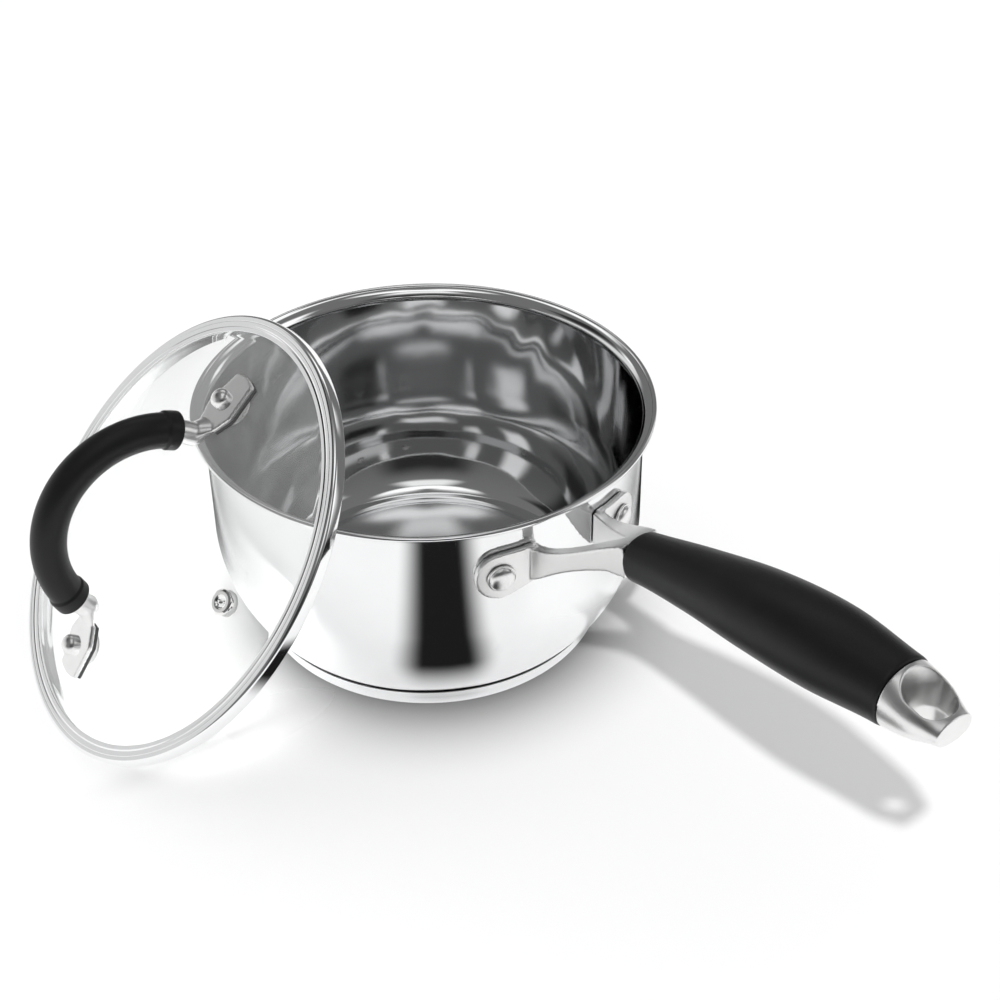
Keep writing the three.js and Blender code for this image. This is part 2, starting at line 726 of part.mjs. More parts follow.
// The lid stands on the edge of its band and leans with its glass on the pan's rim.
function placeLid(group) {
  const tilt = Math.asin(rimCentre.y / lean.restReach);
  const [sin, cos] = [Math.sin(tilt), Math.cos(tilt)];
  const height = lean.floorGap + lidRadius * sin - (bandBack - lid.bandSheet) * cos;
  const ballHeight = height + domeCentre * cos;
  const reach = domeRadius - lid.glassThickness - GAP - pan.beadRadius;
  const ballDistance = Math.sqrt(reach ** 2 - (rimCentre.y - ballHeight) ** 2) - rimCentre.x;
  const distance = -domeCentre * sin - Math.sqrt(ballDistance ** 2 - lean.sideways ** 2);
  const outwards = new THREE.Vector3(Math.cos(lean.azimuth), Math.sin(lean.azimuth), 0);
  const across = new THREE.Vector3(-outwards.y, outwards.x, 0);
  const front = outwards.clone().multiplyScalar(sin).setZ(cos);
  const uphill = new THREE.Vector3().crossVectors(front, across);
  group.matrixAutoUpdate = false;
  group.matrix.makeBasis(across, uphill, front).multiply(new THREE.Matrix4().makeRotationZ(lean.spin));
  group.matrix.setPosition(
    outwards.x * distance + across.x * lean.sideways,
    outwards.y * distance + across.y * lean.sideways,
    height,
  );
}

// ---------------------------------------------------------------- assembly

const saucepan = new THREE.Group();
saucepan.add(
  piece('pan_body', panBody(), mirrorSteel()),
  piece('base_core', baseCore(), aluminium()),
  piece('base_cap', baseCap(), mirrorSteel()),
  piece('handle_fork', handleFork(), satinSteel()),
  piece('handle_grip', handleGrip(), softBlack()),
  piece('hang_loop', hangLoop(), satinSteel()),
  handleRivetPiece(-1),
  handleRivetPiece(1),
);

const lidGroup = new THREE.Group();
lidGroup.add(
  piece('lid_glass', lidGlass(), clearGlass()),
  piece('lid_band', lidBand(), mirrorSteel()),
  piece('lid_handle_bar', lidHandleBar(), satinSteel()),
  piece('lid_handle_sleeve', lidHandleSleeve(), softBlack()),
  ...lidFittings(),
  domeSpot(vent.distance, vent.angle, 0,
    piece('vent_eyelet', ventEyelet(), satinSteel()),
    piece('vent_washer', ventWasher(), satinSteel())),
);
placeLid(lidGroup);
saucepan.add(lidGroup);

export default saucepan;
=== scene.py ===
"""Saucepan with a leaning glass lid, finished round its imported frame. Lengths are in metres."""

import math

import bmesh
import bpy
import numpy as np
from bpy.props import FloatProperty, FloatVectorProperty, IntProperty, PointerProperty
from mathutils import Matrix, Vector


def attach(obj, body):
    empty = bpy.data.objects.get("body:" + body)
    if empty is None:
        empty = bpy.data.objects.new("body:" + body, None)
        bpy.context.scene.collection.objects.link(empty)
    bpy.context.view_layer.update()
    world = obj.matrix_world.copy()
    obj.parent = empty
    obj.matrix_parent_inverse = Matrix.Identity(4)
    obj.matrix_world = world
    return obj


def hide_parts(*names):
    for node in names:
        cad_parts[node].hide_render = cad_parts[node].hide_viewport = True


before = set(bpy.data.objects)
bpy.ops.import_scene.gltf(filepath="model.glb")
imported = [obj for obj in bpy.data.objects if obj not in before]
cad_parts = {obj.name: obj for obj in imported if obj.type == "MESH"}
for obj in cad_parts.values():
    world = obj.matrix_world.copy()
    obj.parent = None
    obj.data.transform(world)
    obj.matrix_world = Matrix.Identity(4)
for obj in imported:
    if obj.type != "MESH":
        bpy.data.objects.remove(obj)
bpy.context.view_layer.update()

bl_info = {
    "name": "Saucepan with glass lid",
    "version": (1, 0, 0),
    "blender": (4, 5, 0),
    "location": "3D View > Sidebar > Saucepan",
    "description": "Makes the pan, its riveted handle, its glass lid and the stage they stand on",
    "category": "Add Mesh",
}

MM = 0.001
GAP = 0.3 * MM                 # free space between pieces that touch
TURN = 2 * math.pi
UP = Vector((0, 0, 1))


# ---------------------------------------------------------------- settings

def length(name, millimetres, description):
    """A length property with its default given in millimetres."""
    return FloatProperty(
        name=name, description=description, default=millimetres * MM,
        min=0.0, unit="LENGTH", precision=4,
    )


def angle(name, degrees, description):
    return FloatProperty(
        name=name, description=description, default=math.radians(degrees),
        unit="ROTATION", subtype="ANGLE",
    )


def colour(name, value, description):
    return FloatVectorProperty(
        name=name, description=description, default=value, size=3,
        min=0.0, max=1.0, subtype="COLOR",
    )


class SaucepanPanSizes(bpy.types.PropertyGroup):
    """Sizes of the pan and its base."""

    wall_radius: length("Wall radius", 85, "Outside of the straight wall")
    height: length("Height", 99.5, "Top of the rim above the table")
    sheet: length("Sheet", 0.8, "Thickness of the steel")
    curve_start: length("Curve start", 50, "Height where the wall begins to curve in")
    curve_radius: length("Curve radius", 60, "Large curve of the lower wall")
    corner_radius: length("Corner radius", 14, "Curve from the wall into the floor")
    floor_height: length("Floor height", 6, "Underside of the floor above the table")
    rim_radius: length("Rim radius", 90, "Outside of the rolled rim")
    bead_radius: length("Bead radius", 1, "Rolled edge of the rim")
    base_radius: length("Base radius", 62, "Flat face the pan rests on")
    base_corner: length("Base corner", 8, "Corner of the base")
    base_sheet: length("Base sheet", 0.6, "Thickness of the base cap")
    step_radius: length("Step radius", 58, "Pressed ring in the pan's floor")


class SaucepanHandleSizes(bpy.types.PropertyGroup):
    """Sizes of the long handle."""

    rivet_azimuth: angle("Rivet azimuth", 19.2, "Rivets either side of the handle")
    rivet_height: length("Rivet height", 76.7, "Rivets above the table")
    rivet_radius: length("Rivet radius", 5.6, "Head of a handle rivet")
    rivet_rise: length("Rivet rise", 3, "Height of a rivet's head")
    ear_radius: length("Ear radius", 9.8, "Rounded end of an ear")
    ear_thickness: length("Ear thickness", 2.5, "Thickness of an ear")
    fold_height: length("Fold height", 16, "Height of the fold between ear and arm")
    fold_offset: length("Fold offset", 11.5, "From the rivet to the fold")
    fold_rise: length("Fold rise", 2.5, "Middle of the fold above the rivet")
    arm_thickness: length("Arm thickness", 3.6, "Thickness of an arm")
    neck_height: length("Neck height", 14, "Height of the neck at the grip")
    neck_half_width: length("Neck half width", 8, "Half the width of the neck")
    grip_start_x: length("Grip start", 126, "Front of the grip from the pan's axis")
    grip_start_z: length("Grip start height", 98, "Front of the grip above the table")
    grip_end_x: length("Grip end", 243.7, "Rear of the grip from the pan's axis")
    grip_end_z: length("Grip end height", 116.3, "Rear of the grip above the table")
    arch_height: length("Arch height", 3.6, "Rise of the grip's middle")
    loop_length: length("Loop length", 20.5, "Length of the hanging loop")
    hole_length: length("Hole length", 12, "Length of the hanging hole")
    hole_width: length("Hole width", 10, "Width of the hanging hole")


class SaucepanLidSizes(bpy.types.PropertyGroup):
    """Sizes of the lid and the way it leans."""

    radius: length("Radius", 89, "Outside of the lid's band")
    glass_thickness: length("Glass thickness", 3.5, "Thickness of the glass")
    dome_height: length("Dome height", 12, "Top of the glass above the band's front")
    band_sheet: length("Band sheet", 0.5, "Thickness of the band")
    lip_width: length("Lip width", 7, "Front lip of the band over the glass")
    collar_depth: length("Collar depth", 10, "Depth of the collar behind the front lip")
    arch_radius: length("Handle radius", 38.8, "Middle line of the lid handle")
    arch_centre: length("Handle centre", 11.1, "Centre of the handle's arc above the band")
    bar_radius: length("Bar radius", 4.5, "Steel bar of the lid handle")
    sleeve_radius: length("Sleeve radius", 6.7, "Soft sleeve on the bar")
    cuff_radius: length("Cuff radius", 7.4, "Raised cuffs at the sleeve's ends")
    cuff_length: length("Cuff length", 5, "Length of a cuff")
    sleeve_half_angle: angle("Sleeve half angle", 74, "Half of the arc the sleeve covers")
    rivet_distance: length("Rivet distance", 54, "Lid rivets from the lid's middle")
    vent_distance: length("Vent distance", 57, "Steam vent from the lid's middle")
    lean_azimuth: angle("Lean azimuth", 259.8, "The way the lid's front faces")
    lean_tilt: angle("Lean tilt", 48.9, "Lean from lying flat")
    lean_spin: angle("Lean spin", 4.5, "Turn of the handle's line from straight uphill")


class SaucepanFinishes(bpy.types.PropertyGroup):
    """Colours of the finishes and of the stage."""

    mirror: colour("Mirror steel", (0.925, 0.93, 0.935), "Polished steel of pan, base and band")
    satin: colour("Satin steel", (0.86, 0.86, 0.855), "Blasted steel of the fittings")
    grip: colour("Soft grip", (0.005, 0.005, 0.0053), "Soft-touch grip and sleeve")
    silicone: colour("Silicone", (0.05, 0.05, 0.05), "Pads under the lid handle")
    glass: colour("Glass", (0.985, 0.995, 0.99), "Tint of the glass")
    floor: colour("Floor", (0.9, 0.9, 0.9), "Paper the pan stands on")
    camera_azimuth: angle("Camera azimuth", 54, "Camera about the pan's axis")
    turned_steps: IntProperty(
        name="Turned steps", description="Facets round the large turned pieces",
        default=256, min=32, max=512,
    )


# ---------------------------------------------------------------- node trees

class Socket:
    """An output socket whose arithmetic adds Math nodes."""

    def __init__(self, net, socket):
        self.net, self.socket = net, socket

    def _math(self, operation, *values):
        return self.net.node("ShaderNodeMath", {"operation": operation}, values)

    def __rsub__(self, other):
        return self._math("SUBTRACT", other, self)

    def between(self, low, high):
        """0 below low, 1 above high and a smooth rise between them."""
        return self.net.node(
            "ShaderNodeMapRange", {"interpolation_type": "SMOOTHSTEP"},
            {"Value": self, "From Min": low, "From Max": high},
        )


for _word, _operation in {
    "__add__": "ADD", "__radd__": "ADD", "__sub__": "SUBTRACT", "__mul__": "MULTIPLY",
    "__rmul__": "MULTIPLY", "__truediv__": "DIVIDE", "__pow__": "POWER",
    "cos": "COSINE", "sin": "SINE", "least": "MINIMUM", "most": "MAXIMUM",
}.items():
    setattr(Socket, _word, lambda self, *others, _kind=_operation: self._math(_kind, self, *others))


class Net:
    """Adds nodes to one tree."""

    def __init__(self, tree):
        self.tree = tree

    def node(self, kind, settings=None, values=None, out=0):
        """Adds a node, sets it, fills its inputs and returns one output."""
        made = self.tree.nodes.new(kind)
        for key, value in (settings or {}).items():
            setattr(made, key, value)
        self.fill(made, values or {})
        return Socket(self, made.outputs[out]) if made.outputs else made

    def fill(self, made, values):
        pairs = values.items() if isinstance(values, dict) else enumerate(values)
        for key, value in pairs:
            if isinstance(value, Socket):
                self.tree.links.new(value.socket, made.inputs[key])
            else:
                made.inputs[key].default_value = value

    def curve(self, value, points):
        """A number read from a curve through points with straight runs between them."""
        made = self.tree.nodes.new("ShaderNodeFloatCurve")
        line = made.mapping.curves[0]
        while len(line.points) < len(points):
            line.points.new(0.5, 0.5)
        for spot, (x, y) in zip(line.points, points):
            spot.location = (x, y)
            spot.handle_type = "VECTOR"
        made.mapping.update()
        self.fill(made, {"Value": value})
        return Socket(self, made.outputs[0])

    def split(self, vector):
        made = self.tree.nodes.new("ShaderNodeSeparateXYZ")
        self.fill(made, [vector])
        return [Socket(self, out) for out in made.outputs]

    def mix_colour(self, factor, first, second):
        made = self.tree.nodes.new("ShaderNodeMix")
        made.data_type = "RGBA"
        ends = [end if isinstance(end, Socket) else (*end, 1) for end in (first, second)]
        self.fill(made, {0: factor, 6: ends[0], 7: ends[1]})
        return Socket(self, made.outputs[2])


def new_material(name):
    """A material with an empty tree, and its net."""
    made = bpy.data.materials.new(name)
    made.use_nodes = True
    made.node_tree.nodes.clear()
    return made, Net(made.node_tree)


def surfaced(made, net, shader):
    """The material with its surface from a shader, or from a Principled shader's values."""
    if isinstance(shader, dict):
        shader = net.node("ShaderNodeBsdfPrincipled", {}, shader)
    net.fill(made.node_tree.nodes.new("ShaderNodeOutputMaterial"), {"Surface": shader})
    return made


def shades(tint, *factors):
    """The tint made darker or lighter by each factor."""
    return [[min(1.0, factor * c) for c in tint] for factor in factors]


def object_place(net):
    return net.node("ShaderNodeTexCoord", out="Object")


def noise(net, place, scale, detail=2.0, roughness=0.5, distortion=0.0):
    return net.node("ShaderNodeTexNoise", {}, {
        "Vector": place, "Scale": scale, "Detail": detail, "Roughness": roughness,
        "Distortion": distortion,
    })


def stretched(net, place, factors):
    return net.node("ShaderNodeVectorMath", {"operation": "MULTIPLY"}, [place, factors])


def bump(net, height, distance, strength=1.0, under=None):
    values = {"Height": height, "Distance": distance, "Strength": strength}
    if under is not None:
        values["Normal"] = under
    return net.node("ShaderNodeBump", {}, values)


def mirror_steel(name, tint, waves=0.0, floor=None, spun=0.0, inside=None):
    """Polished steel with faint polishing marks and slow waves.

    A spun floor comes in where its height is given, and the inside wall, where its radius and height are
    given, gets painted shade: its colour is darkened above the floor."""
    made, net = new_material(name)
    place = object_place(net)
    x, y, z = net.split(place)
    radius = (x * x + y * y) ** 0.5
    marks = noise(net, stretched(net, place, (1, 1, 14)), 900.0, 3.0)
    haze = noise(net, place, 60.0, 3.0)
    roughness = 0.035 + 0.03 * marks + 0.03 * haze
    normal = None
    depth = 1.0
    # depth is 1 on the inside wall: it strengthens the waves there and masks the painted shade below
    if inside:
        across, height, middle = inside
        skin = ((radius - across) ** 2.0 + (z - height).least(0.0) ** 2.0) ** 0.5
        depth = skin.between(middle + 0.1 * MM, middle - 0.1 * MM)
    if waves:
        swell = noise(net, stretched(net, place, (1.0, 1.0, 0.6)), 24.0, 1.0, 0.4, 1.0)
        gather = (0.35 * x + 0.94 * y).between(-10 * MM, 70 * MM)
        normal = bump(net, swell * (0.1 + depth * (0.25 + 0.75 * gather)), waves)
    if spun:
        rings = noise(net, net.node("ShaderNodeCombineXYZ", {}, [radius, 0.0, 0.0]), 2600.0, 3.0)
        where = 1.0
        if floor is not None:
            where = z.between(floor + 4 * MM, floor + 0.5 * MM) * radius.between(62 * MM, 56 * MM)
        roughness = roughness + 0.12 * where * (0.7 + 0.6 * rings)
        normal = bump(net, rings * where, spun, 1.0, normal)
    colour_out = net.mix_colour(haze, *shades(tint, 0.96, 1.02))
    # Painted shade: the inside wall above the floor is darkened to 0.74 of the tint
    if inside:
        colour_out = net.mix_colour(
            depth * z.between(floor, floor + 14 * MM), colour_out, *shades(tint, 0.74))
    values = {"Base Color": colour_out, "Roughness": roughness, "Metallic": 1.0}
    if normal is not None:
        values["Normal"] = normal
    return surfaced(made, net, values)


def satin_steel(name, tint, rough=0.34):
    """Blasted steel: a fine even grain with a little cloudiness."""
    made, net = new_material(name)
    place = object_place(net)
    grain = noise(net, place, 3800.0, 2.0)
    cloud = noise(net, place, 120.0, 3.0)
    return surfaced(made, net, {
        "Base Color": net.mix_colour(cloud, *shades(tint, 0.94, 1.05)),
        "Roughness": rough - 0.04 + 0.08 * cloud + 0.05 * grain,
        "Metallic": 1.0,
        "Normal": bump(net, grain, 0.02 * MM, 0.6),
    })


def soft_black(name, tint):
    """Soft-touch coating: a fine leathery grain and slightly uneven gloss."""
    made, net = new_material(name)
    place = object_place(net)
    grain = net.node("ShaderNodeTexVoronoi", {}, {"Vector": place, "Scale": 2600.0})
    cloud = noise(net, place, 90.0, 3.0)
    dust = noise(net, place, 700.0, 4.0)
    return surfaced(made, net, {
        "Base Color": net.mix_colour(cloud, *shades(tint, 0.8, 1.35)),
        "Roughness": 0.36 + 0.06 * cloud + 0.05 * dust,
        "Specular IOR Level": 0.3,
        "Normal": bump(net, grain, 0.035 * MM, 0.5),
    })


def silicone(name, tint):
    made, net = new_material(name)
    place = object_place(net)
    cloud = noise(net, place, 400.0, 3.0)
    return surfaced(made, net, {
        "Base Color": net.mix_colour(cloud, *shades(tint, 0.85, 1.2)),
        "Roughness": 0.55 + 0.1 * cloud,
        "Normal": bump(net, cloud, 0.03 * MM, 0.4),
    })


def pressed_aluminium(name, tint):
    made, net = new_material(name)
    place = object_place(net)
    cloud = noise(net, place, 260.0, 4.0)
    return surfaced(made, net, {
        "Base Color": net.mix_colour(cloud, *shades(tint, 0.9, 1)),
        "Roughness": 0.45 + 0.15 * cloud,
        "Metallic": 1.0,
        "Normal": bump(net, cloud, 0.05 * MM, 0.5),
    })


def clear_glass(name, tint):
    """Tempered glass: clear, with the faint uneven gloss of handled glass."""
    made, net = new_material(name)
    place = object_place(net)
    film = noise(net, place, 45.0, 3.0)
    shader = net.node("ShaderNodeBsdfPrincipled", {}, {
        "Base Color": net.mix_colour(film, *shades(tint, 1, 0.99)),
        "Roughness": 0.008 + 0.012 * film,
        "IOR": 1.45,
        "Transmission Weight": 1.0,
    })
    veil = net.node("ShaderNodeBsdfPrincipled", {}, {
        "Base Color": (*tint, 1), "Roughness": 0.5, "Specular IOR Level": 0.0})
    mixed = net.node("ShaderNodeMixShader", {}, [0.06 + 0.03 * film, shader, veil])
    return surfaced(made, net, mixed)


# ---------------------------------------------------------------- meshes

def settings():
    scene = bpy.context.scene
    return (scene.saucepan_pan, scene.saucepan_handle, scene.saucepan_lid,
            scene.saucepan_finishes)


def material(name, make, *values, **words):
    """The material of that name, made once."""
    return bpy.data.materials.get(name) or make(name, *values, **words)


def arc(cx, cy, radius, start, end, steps):
    """Points on an arc about (cx, cy)."""
    return [(cx + radius * math.cos(a), cy + radius * math.sin(a))
            for a in np.linspace(start, end, steps + 1)]


def bezier(a, b, c, d, steps=32):
    """Points of a Bezier curve after its first one."""
    t = np.linspace(0, 1, steps + 1)[1:, None]
    a, b, c, d = (np.array(p, float) for p in (a, b, c, d))
    return [tuple(p) for p in
            (1 - t) ** 3 * a + 3 * (1 - t) ** 2 * t * b + 3 * (1 - t) * t * t * c + t ** 3 * d]


def eased(profile, radius, steps=4, closed=True):
    """A profile with its corners rounded."""
    points = [np.array(p, float) for p in profile]
    made = []
    count = len(points)
    for i, here in enumerate(points):
        if not closed and i in (0, count - 1):
            made.append(tuple(here))
            continue
        before, after = points[i - 1], points[(i + 1) % count]
        a, b = before - here, after - here
        la, lb = np.linalg.norm(a), np.linalg.norm(b)
        bend = math.pi - math.acos(np.clip(np.dot(a, b) / (la * lb), -1, 1))
        if bend < 0.3:
            made.append(tuple(here))
            continue
        cut = min(radius * math.tan(bend / 2), 0.45 * la, 0.45 * lb)
        start, end = here + a / la * cut, here + b / lb * cut
        for t in np.linspace(0, 1, steps + 1):
            made.append(tuple((1 - t) ** 2 * start + 2 * t * (1 - t) * here + t * t * end))
    return made


def axes(x, y, z, spot=(0, 0, 0)):
    """A frame at a spot from its three axes."""
    return Matrix((*zip(x, y, z, spot), (0, 0, 0, 1)))


def placed_mesh(name, points, faces):
    """A new object in the scene, of those points and faces."""
    mesh = bpy.data.meshes.new(name)
    mesh.from_pydata([tuple(p) for p in points], [], faces)
    made = bpy.data.objects.new(name, mesh)
    bpy.context.scene.collection.objects.link(made)
    return made


def add_mesh(name, points, faces, finish, place=None):
    """A new object with its normals pointing out and its sharp edges marked."""
    made = placed_mesh(name, points, faces)
    if finish is not None:
        made.data.materials.append(finish)
    if place is not None:
        made.data.transform(place)
    outwards(made)
    return made


def outwards(made, merge=1e-7, sharp=35):
    """Welds a mesh, turns its faces out, and shades it smooth between sharp edges."""
    work = bmesh.new()
    work.from_mesh(made.data)
    bmesh.ops.remove_doubles(work, verts=work.verts, dist=merge)
    bmesh.ops.recalc_face_normals(work, faces=work.faces)
    work.to_mesh(made.data)
    work.free()
    made.data.shade_smooth()
    made.data.set_sharp_from_angle(angle=math.radians(sharp))


def turned(name, profile, steps, finish, place=None, ring=False):
    """A piece turned about Z from (radius, height) points; a ring's profile closes on itself."""
    points, rows = [], []
    for radius, height in profile:
        if radius < 1e-9:
            rows.append([len(points)] * steps)
            points.append((0, 0, height))
        else:
            rows.append(list(range(len(points), len(points) + steps)))
            ways = [TURN * k / steps for k in range(steps)]
            points += [(radius * math.cos(way), radius * math.sin(way), height) for way in ways]
    if ring:
        rows.append(rows[0])
    faces = []
    for low, high in zip(rows, rows[1:]):
        for k in range(steps):
            n = (k + 1) % steps
            face = [low[k], low[n], high[n], high[k]]
            face = [p for i, p in enumerate(face) if p not in face[:i]]
            if len(face) > 2:
                faces.append(face)
    return add_mesh(name, points, faces, finish, place)


def lofted(name, rings, finish, place=None):
    """A skin over rings of corners, closed by a fan at each end."""
    rings = [np.array(r, float) for r in rings]
    sides = len(rings[0])
    points = [p for ring in rings for p in ring]
    faces = []
    for r in range(len(rings) - 1):
        for k in range(sides):
            n = (k + 1) % sides
            a, b = r * sides, (r + 1) * sides
            faces.append([a + k, a + n, b + n, b + k])
    for ring, first in ((rings[0], 0), (rings[-1], (len(rings) - 1) * sides)):
        points.append(ring.mean(0))
        faces += [[first + k, first + (k + 1) % sides, len(points) - 1] for k in range(sides)]
    return add_mesh(name, points, faces, finish, place)


def prism(name, outline, low, high, place=None, top=None):
    """A closed prism over an outline from low to high, with another outline at its top if given."""
    top = top or outline
    count = len(outline)
    points = [(x, y, low) for x, y in outline] + [(x, y, high) for x, y in top]
    faces = [list(range(count))[::-1], list(range(count, 2 * count))]
    faces += [[k, (k + 1) % count, count + (k + 1) % count, count + k] for k in range(count)]
    return add_mesh(name, points, faces, None, place)


def oval_ring(centre, side, up, sides=72, square=2.0):
    """Corners of an oval; square above 2 flattens its sides."""
    centre, side, up = (np.array(v, float) for v in (centre, side, up))
    made = []
    for k in range(sides):
        a = TURN * k / sides
        c, s = math.cos(a), math.sin(a)
        made.append(centre + side * math.copysign(abs(c) ** (2 / square), c)
                    + up * math.copysign(abs(s) ** (2 / square), s))
    return made


def smooth_line(values):
    """A smooth number from 0 to 1 through values at even steps."""
    values = np.array(values, float)

    def at(t):
        count = len(values) - 1
        place = min(max(t, 0.0), 1.0) * count
        i = min(int(place), count - 1)
        w = place - i
        p = [values[min(max(k, 0), count)] for k in (i - 1, i, i + 1, i + 2)]
        v0, v1 = (p[2] - p[0]) / 2, (p[3] - p[1]) / 2
        return ((2 * p[1] - 2 * p[2] + v0 + v1) * w ** 3
                + (-3 * p[1] + 3 * p[2] - 2 * v0 - v1) * w * w + v0 * w + p[1])
    return at


def baked(made):
    """The object with its modifiers turned into plain mesh."""
    graph = bpy.context.evaluated_depsgraph_get()
    mesh = bpy.data.meshes.new_from_object(made.evaluated_get(graph), depsgraph=graph)
    made.modifiers.clear()
    old, made.data = made.data, mesh
    bpy.data.meshes.remove(old)
    made.data.name = made.name
    if not made.data.polygons:
        raise RuntimeError(f"{made.name} has no faces")
    return made


def combine(made, other, operation):
    """Joins, cuts or intersects one solid with another, which is used up."""
    tool = made.modifiers.new("solid", "BOOLEAN")
    tool.operation, tool.object, tool.solver = operation, other, "EXACT"
    baked(made)
    bpy.data.objects.remove(other)
    return made


def merged(made, *others):
    """One object that holds all of their closed shells."""
    work = bmesh.new()
    for part in (made, *others):
        work.from_mesh(part.data)
    work.to_mesh(made.data)
    work.free()
    for part in others:
        bpy.data.objects.remove(part)
    return made


def cast(made, finish, voxel, rounds):
    """Overlapping shells run together into one skin, with its edges and inner corners eased."""
    skin = made.modifiers.new("skin", "REMESH")
    skin.mode, skin.voxel_size, skin.use_smooth_shade = "VOXEL", voxel, True
    ease = made.modifiers.new("ease", "SMOOTH")
    ease.factor, ease.iterations = 0.5, rounds
    baked(made)
    made.data.materials.clear()
    made.data.materials.append(finish)
    made.data.shade_smooth()
    return made


def settle(made, body, slot, *nodes):
    """Rides a finished piece on its body and lets it stand for its CAD nodes.

    The lid's pieces are kept out of the steel's reflections."""
    if body == "lid":
        made.visible_glossy = False
    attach(made, body)
    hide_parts(*nodes)
    return made


# ---------------------------------------------------------------- pan

class PanCurve:
    """The pan's section: a straight wall, a large curve, a corner and a flat floor."""

    def __init__(self, pan):
        self.pan = pan
        self.curve = (pan.wall_radius - pan.curve_radius, pan.curve_start)
        rise = pan.curve_start - pan.floor_height - pan.corner_radius
        reach = math.sqrt((pan.curve_radius - pan.corner_radius) ** 2 - rise ** 2)
        self.corner = (self.curve[0] + reach, pan.floor_height + pan.corner_radius)
        self.seam = -math.atan2(rise, reach)
        self.rim = (pan.rim_radius - pan.bead_radius, pan.height - pan.bead_radius)
        self.flare_radius = self.rim[0] - pan.wall_radius
        self.flare_drop = self.flare_radius + pan.sheet / 2

    def wall(self, inset, corner_steps=18, curve_steps=34):
        """From the floor's edge up to the straight wall, pushed inwards by an inset."""
        pan = self.pan
        return (arc(*self.corner, pan.corner_radius - inset, -math.pi / 2, self.seam, corner_steps)
                + arc(*self.curve, pan.curve_radius - inset, self.seam, 0, curve_steps)[1:])

    def bead_meet(self, radius):
        bead = self.pan.bead_radius
        down = (self.flare_drop ** 2 + bead ** 2 - radius ** 2) / (2 * self.flare_drop)
        return math.atan2(-down, -math.sqrt(bead ** 2 - down ** 2))

    def flare(self, radius, steps=14):
        bead = self.pan.bead_radius
        meet = self.bead_meet(radius)
        x, y = bead * math.cos(meet), bead * math.sin(meet) + self.flare_drop
        centre = (self.rim[0], self.rim[1] - self.flare_drop)
        return arc(*centre, radius, math.pi, math.atan2(y, x), steps)[:-1]

    def bead(self):
        start = self.bead_meet(self.flare_radius) % TURN - TURN
        end = self.bead_meet(self.flare_radius + self.pan.sheet) % TURN
        return arc(*self.rim, self.pan.bead_radius, start, end, 28)

    def seam_point(self, inset):
        reach = self.pan.curve_radius - inset
        return (self.curve[0] + reach * math.cos(self.seam),
                self.curve[1] + reach * math.sin(self.seam))


class SAUCEPAN_OT_pan_body(bpy.types.Operator):
    """Make the polished pan with its flared, rolled rim"""

    bl_idname = "saucepan.pan_body"
    bl_label = "Pan body"

    def execute(self, context):
        pan, _, _, finishes = settings()
        section = PanCurve(pan)
        sheet = pan.sheet
        top = pan.floor_height + sheet
        step = pan.step_radius
        floor = [
            (step + 1.6 * MM, top), (step + 0.9 * MM, top + 0.05 * MM), (step + 0.2 * MM, top + 0.28 * MM),
            (step - 0.5 * MM, top + 0.5 * MM), (step - 1.3 * MM, top + 0.55 * MM),
        ]
        profile = [(0, pan.floor_height), *section.wall(0)]
        profile += section.flare(section.flare_radius) + section.bead()
        profile += section.flare(section.flare_radius + sheet)[::-1]
        profile += section.wall(sheet)[::-1] + floor + [(0, top + 0.55 * MM)]
        # The inside wall given here gets painted shade, a darker colour above the floor
        finish = material("polished_pan_steel", mirror_steel, finishes.mirror, waves=0.6 * MM,
                          floor=top, spun=0.004 * MM,
                          inside=(*section.curve, pan.curve_radius - sheet / 2))
        made = turned("polished_pan", profile, finishes.turned_steps, finish)
        settle(made, "pan", "mirror_steel", "pan_body")
        return {"FINISHED"}


class SAUCEPAN_OT_base(bpy.types.Operator):
    """Make the steel cap of the sandwich base and finish its aluminium core"""

    bl_idname = "saucepan.base"
    bl_label = "Base"

    def execute(self, context):
        pan, _, _, finishes = settings()
        section = PanCurve(pan)
        lip = section.seam_point(-GAP)
        sheet, corner = pan.base_sheet, pan.base_corner
        centre = (pan.base_radius, corner)
        profile = [(0, 0.35 * MM), (pan.base_radius * 0.34, 0.35 * MM), (pan.base_radius * 0.36, 0)]
        profile += arc(*centre, corner, -math.pi / 2, 0, 18)
        profile += [(lip[0] + sheet / 2, lip[1] - 0.25 * MM), (lip[0] + sheet * 0.3, lip[1]),
                    (lip[0], lip[1] - 0.1 * MM), (lip[0] - sheet / 2, lip[1] - sheet)]
        profile += arc(*centre, corner - sheet, 0, -math.pi / 2, 18)
        profile += [(0, sheet + 0.1 * MM)]
        finish = material("polished_base_steel", mirror_steel, finishes.mirror, spun=0.005 * MM,
                          floor=None)
        made = turned("base_shell", profile, finishes.turned_steps, finish)
        settle(made, "pan", "mirror_steel", "base_cap")
        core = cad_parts["base_core"]
        core.data.materials.clear()
        core.data.materials.append(
            material("pressed_aluminium", pressed_aluminium, (0.70, 0.71, 0.72)))
        return {"FINISHED"}


# ---------------------------------------------------------------- long handle

class GripLine:
    """The grip's middle line: an arch between its two ends."""

    def __init__(self, handle):
        self.start = np.array((handle.grip_start_x, 0, handle.grip_start_z))
        self.end = np.array((handle.grip_end_x, 0, handle.grip_end_z))
        self.axis = (self.end - self.start) / np.linalg.norm(self.end - self.start)
        up = np.array((-self.axis[2], 0, self.axis[0]))
        self.peak = (self.start + self.end) / 2 + up * 2 * handle.arch_height

    def at(self, t):
        return (1 - t) ** 2 * self.start + 2 * t * (1 - t) * self.peak + t * t * self.end

    def along(self, t):
        way = (1 - t) * (self.peak - self.start) + t * (self.end - self.peak)
        return way / np.linalg.norm(way)

    def up(self, t):
        way = self.along(t)
        return np.array((-way[2], 0, way[0]))


